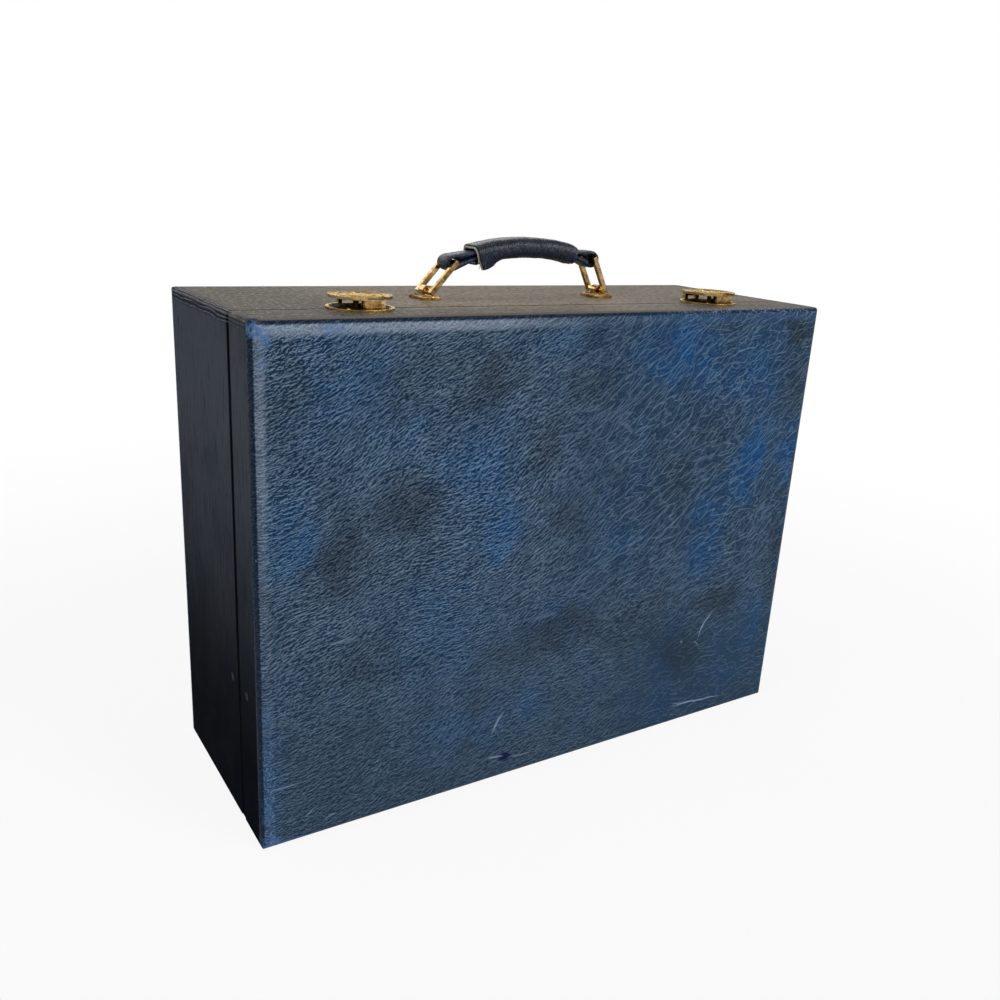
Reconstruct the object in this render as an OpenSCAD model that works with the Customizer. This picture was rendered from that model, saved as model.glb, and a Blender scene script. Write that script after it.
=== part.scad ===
// Hard briefcase with a shallow front lid, two round hasp locks and a strap handle on rectangular rings.
// Millimetres. Origin at the centre of the footprint on the floor, +X to the right, +Y to the back, +Z up.

/* [Case] */
// Outside width of the case, left to right.
case_w = 440; // [420:1:470]
// Outside depth of the closed case, front to back.
case_d = 164; // [150:1:190]
// Outside height of the case without handle and locks.
case_h = 330; // [310:1:350]
// Depth of the lid measured from the front face to the middle of the seam.
lid_d = 40; // [34:0.5:50]
// Width of the seam between the two rims.
seam_gap = 0.8; // [0.6:0.1:1.4]
// Rounding of the four front edges.
front_r = 7; // [6:0.5:9]
// Rounding of the four back edges.
back_r = 4; // [3.6:0.2:4.8]
// Rounding of the edges that run from front to back.
side_r = 2.5; // [2:0.1:3]

/* [Walls] */
// Thickness of the leather covering.
leather_t = 1.2; // [1:0.1:1.5]
// Thickness of the wooden boards.
board_t = 4; // [3.6:0.1:4.5]
// Thickness of the lining.
lining_t = 0.8; // [0.6:0.1:1]
// How far the front leather is turned round the edges, from the front face.
front_wrap = 8; // [7.5:0.5:12]
// How far the back leather is turned round the edges, from the back face.
back_wrap = 5; // [4.9:0.1:8]

/* [Rim] */
// Thickness of the rim lip.
lip_t = 1.2; // [1:0.1:1.4]
// How far the rim lip reaches into the lid, from the middle of the seam.
lip_reach = 5; // [3:0.5:6]
// How far the rim lip goes back into the base, from the middle of the seam.
lip_root = 10; // [8:0.5:10]
// Space between the end of the rim lip and the lining of the lid.
lip_room = 1.4; // [1:0.1:2]

/* [Hinge] */
// Height of the hinge pin above the floor.
hinge_z = 3.3; // [3.3:0.05:3.6]
// Outer radius of the hinge barrel.
barrel_r = 2.6; // [2.4:0.1:2.7]
// Radius of the hinge pin.
hinge_pin_r = 1.1; // [0.9:0.05:1.3]
// Width of each hinge leaf from the pin.
leaf_w = 16; // [14:0.5:20]
// Thickness of each hinge leaf.
leaf_t = 0.8; // [0.7:0.05:0.9]
// Number of barrel knuckles, an odd number.
knuckles = 21; // [11:2:31]
// Free space between two knuckles.
knuckle_gap = 0.4; // [0.3:0.1:0.8]
// Number of screws in each leaf.
leaf_screws = 8; // [4:1:10]
// Radius of the screw heads.
screw_head_r = 2.2; // [1.9:0.1:2.6]
// Height of the countersunk screw heads.
screw_head_h = 0.6; // [0.5:0.05:0.65]
// Radius of the screw shanks.
screw_r = 1; // [0.8:0.1:1.2]
// Length of the screw shanks.
screw_l = 3; // [2:0.1:3.2]

/* [Lid stays] */
// Height of the two wall rivets above the hinge pin.
stay_rise = 94; // [80:1:105]
// Distance of each wall rivet from the middle of the seam.
stay_spread = 14; // [14:0.5:18]
// Width of the stay links.
link_w = 9; // [8:0.5:11]
// Thickness of the stay links.
link_t = 1.5; // [1.2:0.1:1.8]
// Space between the lip or lining and the outer link.
link_off = 1.2; // [1.2:0.1:1.6]
// Free space between the two links of a stay.
link_gap = 0.2; // [0.1:0.05:0.3]
// Shank radius of the stay rivets.
stay_rivet_r = 1.6; // [1.4:0.1:1.8]
// Head radius of the wall rivets outside.
wall_head_r = 3; // [2.6:0.1:3.5]
// Head radius of the stay rivets inside.
link_head_r = 2.8; // [2.5:0.1:3.2]
// Height of the rivet heads.
stay_head_h = 0.7; // [0.6:0.05:0.8]
// Distance of the stop pin from the elbow.
stop_off = 10; // [9.5:0.25:11]
// Radius of the stop pin.
stop_r = 1.5; // [1.2:0.1:1.8]
// Angle between the links at which the stop pin is met.
stop_angle = 113; // [112.5:0.5:116]

/* [Handle] */
// Distance between the pivots of the two handle plates.
post_span = 143; // [139:0.5:147]
// How far the middle of the handle lies right of the middle of the case.
handle_off = -3.4; // [-6:0.2:0]
// Length of a handle plate along the case.
plate_l = 14; // [13.5:0.5:17]
// Width of a handle plate across the case.
plate_w = 20; // [19:0.5:24]
// Thickness of a handle plate.
plate_t = 2.4; // [2:0.1:3]
// Side of the square bar that the rings are made of.
bar = 3.2; // [2.7:0.1:3.3]
// Height of a ring between the middles of its bars.
ring_h = 25; // [24:0.5:27]
// Outside width of a ring.
ring_w = 22.2; // [21.9:0.1:24]
// Width of the staple that holds a ring.
staple_w = 6; // [5:0.5:9]
// Wall thickness of the staple.
staple_t = 1.1; // [0.9:0.1:1.4]
// Free space round the bar in the staple.
staple_gap = 0.4; // [0.3:0.05:0.5]
// Lean of the left ring towards the middle.
lean_left = 42; // [38:0.5:46]
// Lean of the right ring towards the middle.
lean_right = 27; // [24:0.5:31]
// Head radius of the handle rivets.
post_head_r = 1.5; // [1.3:0.1:1.7]
// Head height of the handle rivets.
post_head_h = 0.6; // [0.4:0.1:0.8]
// Shank radius of the handle and lock rivets.
post_rivet_r = 0.9; // [0.7:0.05:1.1]

/* [Grip] */
// Radius of the arc along the top of the sleeve.
grip_r = 184; // [176:0.2:194]
// Distance of the centre of the sleeve arc to the right of the middle of the handle.
grip_right = 7.4; // [5:0.2:10]
// Height of the centre of the sleeve arc below the top of the case.
grip_drop = 144; // [143:0.1:145]
// Width of the strap.
strap_w = 15; // [13:0.5:15]
// Thickness of one layer of the strap.
strap_t = 3.1; // [2.8:0.05:3.2]
// Free space between the two layers of the strap.
layer_gap = 0.4; // [0.3:0.1:0.8]
// Free space round the ring bar in the left loop.
loop_gap_left = 0.25; // [0.2:0.05:0.4]
// Free space round the ring bar in the right loop.
loop_gap_right = 0.75; // [0.7:0.05:0.9]
// Wall thickness of the sleeve.
sleeve_t = 2.2; // [1.8:0.1:2.4]
// Rounding of the sleeve across its length.
sleeve_r = 4.5; // [3.5:0.25:4.75]
// Angle from the top of the arc to the left end of the sleeve.
sleeve_angle_left = 14.4; // [13:0.1:14.8]
// Angle from the top of the arc to the right end of the sleeve.
sleeve_angle_right = 11.9; // [11:0.1:12.5]
// How far the loose corner of the sleeve hangs below the sleeve.
flap_drop = 5; // [4:0.2:7]
// Angle along the sleeve over which its lower edge hangs loose.
flap_angle = 7; // [6.4:0.1:8]
// Width of the light raw edge at the left end of the sleeve.
edge_w = 0.9; // [0.6:0.1:1.4]

/* [Locks] */
// Distance of the middle of each lock from the side of the case.
lock_inset = 79.5; // [70:0.5:95]
// Radius of the round lock plates.
lock_r = 20.6; // [20.4:0.2:22.4]
// Thickness of the lock plates.
lock_t = 1.2; // [1:0.1:1.4]
// Radius of the round hasp.
hasp_r = 19.3; // [19:0.1:19.6]
// Height of the underside of the hasp above the leather.
hasp_z = 6.6; // [6.5:0.05:6.9]
// Thickness of the hasp.
hasp_t = 1.4; // [1.2:0.1:1.6]
// Height of the raised rings on the hasp.
rib_h = 0.35; // [0.2:0.05:0.5]
// Width of the raised rings on the hasp.
rib_w = 0.9; // [0.7:0.05:1.2]
// Distance of the hasp pin behind the middle of the lock.
pin_back = 18.2; // [17.9:0.1:18.4]
// Height of the hasp pin above the leather.
pin_z = 5; // [4.9:0.05:5.1]
// Outer radius of the hasp knuckle.
knuckle_r = 1.8; // [1.6:0.05:1.9]
// Radius of the hasp pin.
hasp_pin_r = 0.8; // [0.6:0.05:0.9]
// Width of the hasp knuckle.
knuckle_w = 8.4; // [7:0.2:10]
// Width of one pin lug.
lug_w = 2; // [1.6:0.1:2.4]
// Width of the sliding catch.
catch_w = 14.2; // [12:0.2:14.6]
// Depth of the face block of the sliding catch.
catch_d = 4; // [3.4:0.1:4]
// Height of the sliding catch.
catch_h = 4.9; // [4.2:0.1:5]
// Place of the middle of the catch, right of the middle of the lock.
catch_off = 3.5; // [3:0.1:4]
// Travel of the catch to the left.
catch_travel = 6; // [5:0.25:6]
// Rounding of the left corner of the catch.
catch_r = 1.8; // [1:0.1:2.2]

/* [Fit] */
// Radial clearance of pins in the parts that turn on them.
run_fit = 0.05; // [0.02:0.01:0.1]
// Radial clearance of rivets and screws in the parts that they hold.
rivet_fit = 0.05; // [0.02:0.01:0.1]
// Space between faces that slide or swing past each other.
slide_gap = 0.3; // [0.2:0.05:0.4]

/* [Hidden] */
front_y = -case_d / 2;
back_y = case_d / 2;
seam_y = front_y + lid_d;
lid_end = seam_y - seam_gap / 2;
base_end = seam_y + seam_gap / 2;
wall = leather_t + board_t + lining_t;
shell = leather_t + board_t;
relief = barrel_r + 1.6;
leaf_z = leather_t + board_t;
screw_line = 0.66 * leaf_w;
big = 1000;
eps = 0.01;

link_len = sqrt(stay_rise * stay_rise + stay_spread * stay_spread);
link_turn = atan2(stay_spread, stay_rise);
link_x = case_w / 2 - wall - lip_t - link_off;
pivot_z = hinge_z + stay_rise;
elbow_z = hinge_z + 2 * stay_rise;
sunk = 0.15;
stop_turn = stop_angle + asin((link_w / 2 + stop_r) / stop_off);

ring_pivot_z = case_h + plate_t + 0.1 + bar / 2 * sqrt(2) + staple_gap;
plate_chamfer = 0.5;
post_left = handle_off - post_span / 2;
post_right = handle_off + post_span / 2;
post_x = plate_l / 2 - 2.4;
post_y = plate_w / 2 - 3;
eye_left = bar / 2 * sqrt(2) + loop_gap_left;
eye_right = bar / 2 * sqrt(2) + loop_gap_right;
top_left = [post_left + ring_h * sin(lean_left), ring_pivot_z + ring_h * cos(lean_left)];
top_right = [post_right - ring_h * sin(lean_right), ring_pivot_z + ring_h * cos(lean_right)];
grip_cx = handle_off + grip_right;
grip_cz = case_h - grip_drop;
strap_up = grip_r - sleeve_t - run_fit - strap_t / 2;
strap_low = strap_up - strap_t - layer_gap;
sleeve_h = 2 * sleeve_t + 2 * strap_t + layer_gap + 2 * run_fit;
sleeve_w = strap_w + 2 * sleeve_t + 2 * run_fit;
arc_past = 0.8;
arc_lap = 0.3;

lock_z = case_h;
lock_x = case_w / 2 - lock_inset;
hasp_top = hasp_z + hasp_t;
catch_left = catch_off - catch_w / 2;
catch_right = catch_off + catch_w / 2;
catch_back = -9.3;
tongue_w = 2.6;
tongue_x = catch_left - 4.2;
tongue_y = -8.8;
tongue_d = 1.6;
bolt_h = 2.4;
guide_r = 1;
guide_x = catch_off + 1.5;
guide_y = -6.6;
lock_rivet_x = 13;
lock_rivet_back = 11;
lock_rivet_front = 13.5;

module block(x0, x1, y0, y1, z0, z1) {
    translate([x0, y0, z0])
        cube([x1 - x0, y1 - y0, z1 - z0]);
}

// A block between two distances from the middle plane, on the left or the right side.
module side_block(side, a, b, y0, y1, z0, z1) {
    block(min(side * a, side * b), max(side * a, side * b), y0, y1, z0, z1);
}

// A block that stays a given inset inside the closed sides of the case.
module inner_block(inset, y0, y1) {
    block(-case_w / 2 + inset, case_w / 2 - inset, y0, y1, inset, case_h - inset);
}

module bar_x(r, x0, x1) {
    translate([x0, 0, 0])
        rotate([0, 90, 0])
            cylinder(r = r, h = x1 - x0, $fn = 48);
}

module bar_y(r, w) {
    rotate([90, 0, 0])
        cylinder(r = r, h = w, center = true, $fn = 48);
}

// A rectangle whose lower corners have radius r0 and whose upper corners have radius r1.
module rounded_sheet(w, v0, v1, r0, r1) {
    translate([-w / 2, v0 + r0])
        square([w, v1 - v0 - r0 - r1]);
    if (r0 > 0) {
        translate([-w / 2 + r0, v0])
            square([w - 2 * r0, r0 + eps]);
        for (s = [-1, 1])
            translate([s * (w / 2 - r0), v0 + r0])
                circle(r = r0, $fn = 48);
    }
    if (r1 > 0) {
        translate([-w / 2 + r1, v1 - r1 - eps])
            square([w - 2 * r1, r1 + eps]);
        for (s = [-1, 1])
            translate([s * (w / 2 - r1), v1 - r1])
                circle(r = r1, $fn = 48);
    }
}

// The outside form of lid or base, taken in by a given amount on every closed side.
module case_form(inset, y0, y1, r0, r1) {
    r_side = side_r - inset;
    intersection() {
        translate([0, 0, -big / 2])
            linear_extrude(height = big)
                rounded_sheet(case_w - 2 * inset, y0, y1, r0, r1);
        translate([0, 0, case_h / 2])
            rotate([0, 90, 0])
                translate([0, 0, -big / 2])
                    linear_extrude(height = big)
                        rounded_sheet(case_h - 2 * inset, y0, y1, r0, r1);
        translate([0, big / 2, case_h / 2])
            rotate([90, 0, 0])
                linear_extrude(height = big)
                    rounded_sheet(case_w - 2 * inset, inset - case_h / 2, case_h / 2 - inset, r_side, r_side);
    }
}

module lid_form(inset) {
    case_form(inset, front_y + inset, lid_end, front_r - inset, 0);
}

module base_form(inset) {
    case_form(inset, base_end, back_y - inset, 0, back_r - inset);
}

module hinge_room(z1) {
    block(-case_w, case_w, seam_y - relief, seam_y + relief, -1, z1);
}

module lid_skin() {
    difference() {
        lid_form(0);
        lid_form(leather_t);
        inner_block(shell, lid_end - 1, lid_end + 1);
        hinge_room(hinge_z);
    }
}

module base_skin() {
    difference() {
        base_form(0);
        base_form(leather_t);
        hinge_room(hinge_z);
    }
}

module post_holes() {
    for (x = [post_left, post_right])
        for (u = [-1, 1])
            for (v = [-1, 1])
                translate([x + u * post_x, v * post_y, case_h - shell - 1])
                    cylinder(r = post_rivet_r + rivet_fit, h = shell + plate_t + 2, $fn = 32);
}

module lock_holes(dy) {
    for (s = [-1, 1])
        for (u = [-1, 1])
            translate([s * lock_x + u * lock_rivet_x, seam_y + dy, case_h - shell - 1])
                cylinder(r = post_rivet_r + rivet_fit, h = shell + lock_t + 2, $fn = 32);
}

module stay_holes(dy) {
    for (s = [-1, 1])
        translate([s * case_w / 2, seam_y + dy, pivot_z]) {
            rotate([0, -s * 90, 0])
                cylinder(r = stay_rivet_r + rivet_fit, h = 3 * wall, center = true, $fn = 32);
            rotate([0, -s * 90, 0])
                cylinder(r = wall_head_r + rivet_fit, h = 2 * (sunk + stay_head_h), center = true, $fn = 32);
        }
}

// Wooden boards
module base_board_top() {
    color("peru")
        difference() {
            intersection() {
                base_form(leather_t);
                block(-case_w, case_w, base_end, back_y - shell, case_h - shell, case_h);
            }
            post_holes();
            lock_holes(lock_rivet_back);
        }
}

module base_board_bottom() {
    color("peru")
        difference() {
            intersection() {
                base_form(leather_t);
                block(-case_w, case_w, base_end, back_y - shell, 0, shell);
            }
            block(-case_w, case_w, seam_y - relief, seam_y + relief, -1, shell + 1);
            leaf_holes(1);
        }
}

module side_board(side, y0, y1) {
    side_block(side, case_w / 2 - shell, case_w, y0, y1, shell, case_h - shell);
}

module base_board_side(side) {
    color("peru")
        difference() {
            intersection() {
                base_form(leather_t);
                side_board(side, base_end, back_y - shell);
            }
            stay_holes(stay_spread);
        }
}

module base_board_back() {
    color("tan")
        intersection() {
            base_form(leather_t);
            block(-case_w, case_w, back_y - shell, back_y, 0, case_h);
        }
}

module lid_board_top() {
    color("peru")
        difference() {
            intersection() {
                lid_form(leather_t);
                block(-case_w, case_w, front_y + shell, lid_end, case_h - shell, case_h);
            }
            lock_holes(-lock_rivet_front);
        }
}

module lid_board_bottom() {
    color("peru")
        difference() {
            intersection() {
                lid_form(leather_t);
                block(-case_w, case_w, front_y + shell, lid_end, 0, shell);
            }
            block(-case_w, case_w, seam_y - relief, seam_y + relief, -1, shell + 1);
            leaf_holes(-1);
        }
}

module lid_board_side(side) {
    color("peru")
        difference() {
            intersection() {
                lid_form(leather_t);
                side_board(side, front_y + shell, lid_end);
            }
            stay_holes(-stay_spread);
        }
}

module lid_board_front() {
    color("tan")
        intersection() {
            lid_form(leather_t);
            block(-case_w, case_w, front_y, front_y + shell, 0, case_h);
        }
}

// Leather
module band(side_x, side_z, y0, y1) {
    if (side_z > 0)
        block(-case_w, case_w, y0, y1, case_h - side_r, case_h + 1);
    else if (side_z < 0)
        block(-case_w, case_w, y0, y1, -1, side_r);
    else
        side_block(side_x, 1, case_w, y0, y1, side_r, case_h - side_r);
}

module base_leather(side_x, side_z) {
    color("midnightblue")
        difference() {
            intersection() {
                base_skin();
                band(side_x, side_z, base_end - 1, back_y - back_wrap);
            }
            post_holes();
            lock_holes(lock_rivet_back);
            stay_holes(stay_spread);
        }
}

module base_leather_back() {
    color("midnightblue")
        intersection() {
            base_skin();
            block(-case_w, case_w, back_y - back_wrap, back_y + 1, -1, case_h + 1);
        }
}

module lid_leather(side_x, side_z) {
    color("midnightblue")
        difference() {
            intersection() {
                lid_skin();
                band(side_x, side_z, front_y + front_wrap, lid_end + 1);
            }
            lock_holes(-lock_rivet_front);
            stay_holes(-stay_spread);
        }
}

module lid_leather_front() {
    color("royalblue")
        intersection() {
            lid_skin();
            block(-case_w, case_w, front_y - 1, front_y + front_wrap, -1, case_h + 1);
        }
}

// Linings and rim lip
module base_lining() {
    color("slategray")
        difference() {
            inner_block(shell, base_end, back_y - shell);
            inner_block(wall, base_end - 1, back_y - wall);
            block(-case_w, case_w, base_end - 1, seam_y + leaf_w + slide_gap, 0, wall + slide_gap);
            stay_holes(stay_spread);
        }
}

module lid_lining() {
    color("slategray")
        difference() {
            inner_block(shell, front_y + shell, seam_y - lip_reach - lip_room);
            inner_block(wall, front_y + wall, seam_y);
            block(-case_w, case_w, seam_y - leaf_w - slide_gap, seam_y, 0, wall + slide_gap);
            stay_holes(-stay_spread);
        }
}

module rim_lip() {
    out_x = case_w / 2 - wall;
    in_x = out_x - lip_t;
    color("goldenrod")
        difference() {
            block(-out_x, out_x, seam_y - lip_reach, seam_y + lip_root, wall + slide_gap, case_h - wall);
            block(-in_x, in_x, seam_y - case_d, seam_y + case_d, -1, case_h - wall - lip_t);
        }
}

// Hinge
leaf_len = case_w - 2 * wall - 2;
knuckle_pitch = leaf_len / knuckles;
screw_pitch = leaf_len / leaf_screws;
knuckle_w_x = knuckle_pitch - knuckle_gap;

// Places its children at the undersides of the screw heads.
module at_screws(side) {
    for (i = [0 : leaf_screws - 1])
        translate([-leaf_len / 2 + (i + 0.5) * screw_pitch, seam_y + side * screw_line, 0])
            translate([0, 0, leaf_z + leaf_t - screw_head_h])
                children();
}

module leaf_holes(side) {
    at_screws(side)
        translate([0, 0, -2 * wall])
            cylinder(r = screw_r + rivet_fit, h = 4 * wall, $fn = 24);
}

module leaf_plate(side, x0, x1, v0, v1) {
    translate([0, seam_y, 0])
        block(x0, x1, min(side * v0, side * v1), max(side * v0, side * v1), leaf_z, leaf_z + leaf_t);
}

module leaf_root(side, w) {
    reach = side * (relief + 1);
    translate([0, seam_y, 0])
        block(0, w, min(0, reach), max(0, reach), leaf_z, hinge_z + barrel_r);
}

module hinge_leaf(side) {
    color("gold")
        difference() {
            union() {
                leaf_plate(side, -leaf_len / 2, leaf_len / 2, relief, leaf_w);
                for (i = [(side > 0 ? 0 : 1) : 2 : knuckles - 1])
                    translate([-leaf_len / 2 + i * knuckle_pitch + knuckle_gap / 2, seam_y, 0]) {
                        translate([0, 0, hinge_z])
                            bar_x(barrel_r, 0, knuckle_w_x);
                        translate([0, -seam_y, 0]) {
                            leaf_plate(side, 0, knuckle_w_x, 1, relief + 1);
                            leaf_root(side, knuckle_w_x);
                        }
                    }
            }
            translate([0, seam_y, hinge_z])
                bar_x(hinge_pin_r + run_fit, -case_w, case_w);
            leaf_holes(side);
            at_screws(side)
                cylinder(r1 = screw_r + rivet_fit, r2 = screw_head_r + rivet_fit, h = screw_head_h, $fn = 24);
        }
}

module hinge_pin() {
    color("silver")
        translate([0, seam_y, hinge_z])
            bar_x(hinge_pin_r, -leaf_len / 2, leaf_len / 2);
}

module hinge_screws(side) {
    color("gold")
        at_screws(side) {
            cylinder(r1 = screw_r, r2 = screw_head_r, h = screw_head_h, $fn = 24);
            translate([0, 0, -screw_l])
                cylinder(r = screw_r, h = screw_l + eps, $fn = 24);
        }
}

// Folding lid stays
module wall_rivet(side, dy, x_in) {
    translate([side * case_w / 2, seam_y + dy, pivot_z])
        rotate([0, -side * 90, 0]) {
            translate([0, 0, sunk])
                cylinder(r = wall_head_r, h = stay_head_h, $fn = 32);
            translate([0, 0, sunk + stay_head_h - eps])
                cylinder(r = stay_rivet_r, h = case_w / 2 - x_in - sunk, $fn = 32);
            translate([0, 0, case_w / 2 - x_in + slide_gap])
                cylinder(r = link_head_r, h = stay_head_h, $fn = 32);
        }
}

module stay_rivets_base() {
    color("gold")
        for (s = [-1, 1])
            wall_rivet(s, stay_spread, link_x - link_t - slide_gap);
}

module stay_rivets_lid() {
    color("gold")
        for (s = [-1, 1])
            wall_rivet(s, -stay_spread, link_x - 2 * link_t - link_gap - slide_gap);
}

module spacer(side, dy, x_in) {
    translate([side * (case_w / 2 - wall), seam_y + dy, pivot_z])
        rotate([0, -side * 90, 0])
            difference() {
                cylinder(r = link_head_r + 0.4, h = case_w / 2 - wall - x_in, $fn = 32);
                translate([0, 0, -1])
                    cylinder(r = stay_rivet_r + rivet_fit, h = wall * 3, $fn = 32);
            }
}

module stay_spacers_base() {
    color("gold")
        for (s = [-1, 1])
            spacer(s, stay_spread, link_x + link_gap / 2);
}

module stay_spacers_lid() {
    color("gold")
        for (s = [-1, 1])
            spacer(s, -stay_spread, link_x - link_t - link_gap / 2);
}

// A link drawn upwards from its lower pivot, thickness along +X from 0.
module link_bar(far_r) {
    rotate([90, 0, 90])
        linear_extrude(height = link_t)
            difference() {
                union() {
                    circle(r = link_w / 2, $fn = 48);
                    translate([-link_w / 2, 0])
                        square([link_w, link_len]);
                    translate([0, link_len])
                        circle(r = link_w / 2, $fn = 48);
                }
                circle(r = stay_rivet_r + run_fit, $fn = 32);
                translate([0, link_len])
                    circle(r = far_r, $fn = 32);
            }
}

module stay_link_base(side) {
    stop_from = side > 0 ? -link_t - link_gap : link_t - eps;
    color("gold")
        translate([side > 0 ? link_x - link_t : -link_x, seam_y + stay_spread, pivot_z])
            rotate([link_turn, 0, 0]) {
                link_bar(stay_rivet_r + rivet_fit);
                translate([0, 0, link_len])
                    rotate([stop_turn - 180, 0, 0]) {
                        difference() {
                            block(0, link_t, -stop_r - 0.8, stop_r + 0.8, 0, stop_off);
                            bar_x(link_w / 2 - 1, -1, link_t + 1);
                        }
                        translate([0, 0, stop_off])
                            bar_x(stop_r + 0.8, 0, link_t);
                        translate([0, 0, stop_off])
                            bar_x(stop_r, stop_from, stop_from + link_t + link_gap + eps);
                    }
            }
}

module stay_link_lid(side) {
    x = side > 0 ? link_x - 2 * link_t - link_gap : -link_x + link_t + link_gap;
    color("gold")
        translate([x, seam_y - stay_spread, pivot_z])
            rotate([-link_turn, 0, 0])
                link_bar(stay_rivet_r + 3 * run_fit);
}

module elbow_rivet(side) {
    color("gold")
        translate([side * link_x, seam_y, elbow_z])
            rotate([0, -side * 90, 0]) {
                translate([0, 0, -stay_head_h])
                    cylinder(r = link_head_r, h = stay_head_h, $fn = 32);
                translate([0, 0, -eps])
                    cylinder(r = stay_rivet_r, h = 2 * link_t + 2 * link_gap + 2 * eps, $fn = 32);
                translate([0, 0, 2 * link_t + 2 * link_gap])
                    cylinder(r = link_head_r, h = stay_head_h, $fn = 32);
            }
}

// Handle
module plate_block(inset, z1) {
    x = plate_l / 2 - inset;
    y = plate_w / 2 - inset;
    block(-x, x, -y, y, case_h, z1);
}

module handle_plate(x) {
    eye = bar / 2 * sqrt(2) + staple_gap;
    out = eye + staple_t;
    color("gold")
        difference() {
            translate([x, 0, 0]) {
                plate_block(0, case_h + plate_t - plate_chamfer);
                plate_block(plate_chamfer, case_h + plate_t);
                difference() {
                    union() {
                        translate([0, 0, ring_pivot_z])
                            bar_y(out, staple_w);
                        block(-out, out, -staple_w / 2, staple_w / 2, case_h + plate_t - eps, ring_pivot_z);
                    }
                    translate([0, 0, ring_pivot_z])
                        bar_y(eye, staple_w + 2);
                }
            }
            post_holes();
        }
}

module handle_rivets() {
    color("gold")
        for (x = [post_left, post_right])
            for (u = [-1, 1])
                for (v = [-1, 1])
                    translate([x + u * post_x, v * post_y, case_h + plate_t]) {
                        cylinder(r1 = post_head_r, r2 = post_head_r * 0.6, h = post_head_h, $fn = 24);
                        translate([0, 0, -plate_t - shell + 0.6])
                            cylinder(r = post_rivet_r, h = plate_t + shell - 0.6 + eps, $fn = 24);
                    }
}

module ring(x, turn) {
    color("gold")
        translate([x, 0, ring_pivot_z])
            rotate([0, turn, 0])
                difference() {
                    block(-bar / 2, bar / 2, -ring_w / 2, ring_w / 2, -bar / 2, ring_h + bar / 2);
                    block(-bar, bar, -ring_w / 2 + bar, ring_w / 2 - bar, bar / 2, ring_h - bar / 2);
                }
}

function on_arc(r, a) = [grip_cx + r * sin(a), grip_cz + r * cos(a)];

module arc_layer(r_mid, a0, a1) {
    intersection() {
        translate([grip_cx, grip_cz])
            difference() {
                circle(r = r_mid + strap_t / 2, $fn = 360);
                circle(r = r_mid - strap_t / 2, $fn = 360);
            }
        polygon([[grip_cx, grip_cz], on_arc(2 * r_mid, a0), on_arc(2 * r_mid, a1)]);
    }
}

module run(p, q) {
    translate(p)
        rotate(atan2(q[1] - p[1], q[0] - p[0]))
            translate([0, -strap_t / 2])
                square([norm(q - p), strap_t]);
}

module strap_side(a0, a1) {
    difference() {
        union() {
            for (r = [strap_up, strap_low])
                arc_layer(r, a0, a1);
            run(top_left + [0, eye_left + strap_t / 2], on_arc(strap_up, a0 + arc_lap));
            run(top_left - [0, eye_left + strap_t / 2], on_arc(strap_low, a0 + arc_lap));
            run(on_arc(strap_up, a1 - arc_lap), top_right + [0, eye_right + strap_t / 2]);
            run(on_arc(strap_low, a1 - arc_lap), top_right - [0, eye_right + strap_t / 2]);
            translate(top_left)
                circle(r = eye_left + strap_t, $fn = 64);
            translate(top_right)
                circle(r = eye_right + strap_t, $fn = 64);
        }
        translate(top_left)
            circle(r = eye_left, $fn = 48);
        translate(top_right)
            circle(r = eye_right, $fn = 48);
    }
}

module grip_strap() {
    color("midnightblue")
        rotate([90, 0, 0])
            linear_extrude(height = strap_w, center = true)
                strap_side(-sleeve_angle_left - arc_past, sleeve_angle_right + arc_past);
}

module sleeve_section(w, h, r) {
    translate([-h / 2 + r, -w / 2])
        square([h - 2 * r, w]);
    translate([-h / 2, -w / 2 + r])
        square([h, w - 2 * r]);
    for (u = [-1, 1])
        for (v = [-1, 1])
            translate([u * (h / 2 - r), v * (w / 2 - r)])
                circle(r = r, $fn = 32);
}

module sleeve_arc(a0, a1, grow, cavity) {
    hole_h = sleeve_h - 2 * sleeve_t - 2 * cavity;
    hole_w = sleeve_w - 2 * sleeve_t - 2 * cavity;
    translate([grip_cx, 0, grip_cz])
        rotate([90, 0, 0])
            rotate([0, 0, 90 - a1])
                rotate_extrude(angle = a1 - a0, $fn = 360)
                    translate([grip_r - sleeve_h / 2, 0])
                        difference() {
                            sleeve_section(sleeve_w + 2 * grow, sleeve_h + 2 * grow, sleeve_r + grow);
                            square([hole_h, hole_w], center = true);
                        }
}

module grip_sleeve() {
    low = grip_r - sleeve_h;
    flap_in = low + sleeve_r;
    // Each point: share of the flap's drop, and angle from the left end of the sleeve.
    hem = [[0.9, 0.2], [1, 0.6], [0.9, 1.7], [0.66, 3.85], [0.37, 5.1], [-0.08, flap_angle]];
    color("navy") {
        sleeve_arc(-sleeve_angle_left, sleeve_angle_right, 0, 0);
        translate([0, -sleeve_w / 2 + sleeve_t, 0])
            rotate([90, 0, 0])
                linear_extrude(height = sleeve_t - 0.1)
                    polygon(concat(
                        [on_arc(flap_in, -sleeve_angle_left)],
                        [for (h = hem) on_arc(low - h[0] * flap_drop, -sleeve_angle_left + h[1])],
                        [on_arc(flap_in, -sleeve_angle_left + flap_angle)]
                    ));
    }
}

module grip_edge() {
    color("wheat")
        sleeve_arc(-sleeve_angle_left - edge_w / grip_r * 180 / PI, -sleeve_angle_left, -0.1, 0);
}

// Locks, drawn about the middle of the lock on the leather.
module at_lock(side) {
    translate([side * lock_x, seam_y, lock_z])
        children();
}

module lock_disc(half) {
    difference() {
        cylinder(r = lock_r, h = lock_t, $fn = 96);
        if (half > 0)
            block(-lock_r - 1, lock_r + 1, -lock_r - 1, seam_gap / 2, -1, lock_t + 1);
        else
            block(-lock_r - 1, lock_r + 1, -seam_gap / 2, lock_r + 1, -1, lock_t + 1);
    }
}

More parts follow.
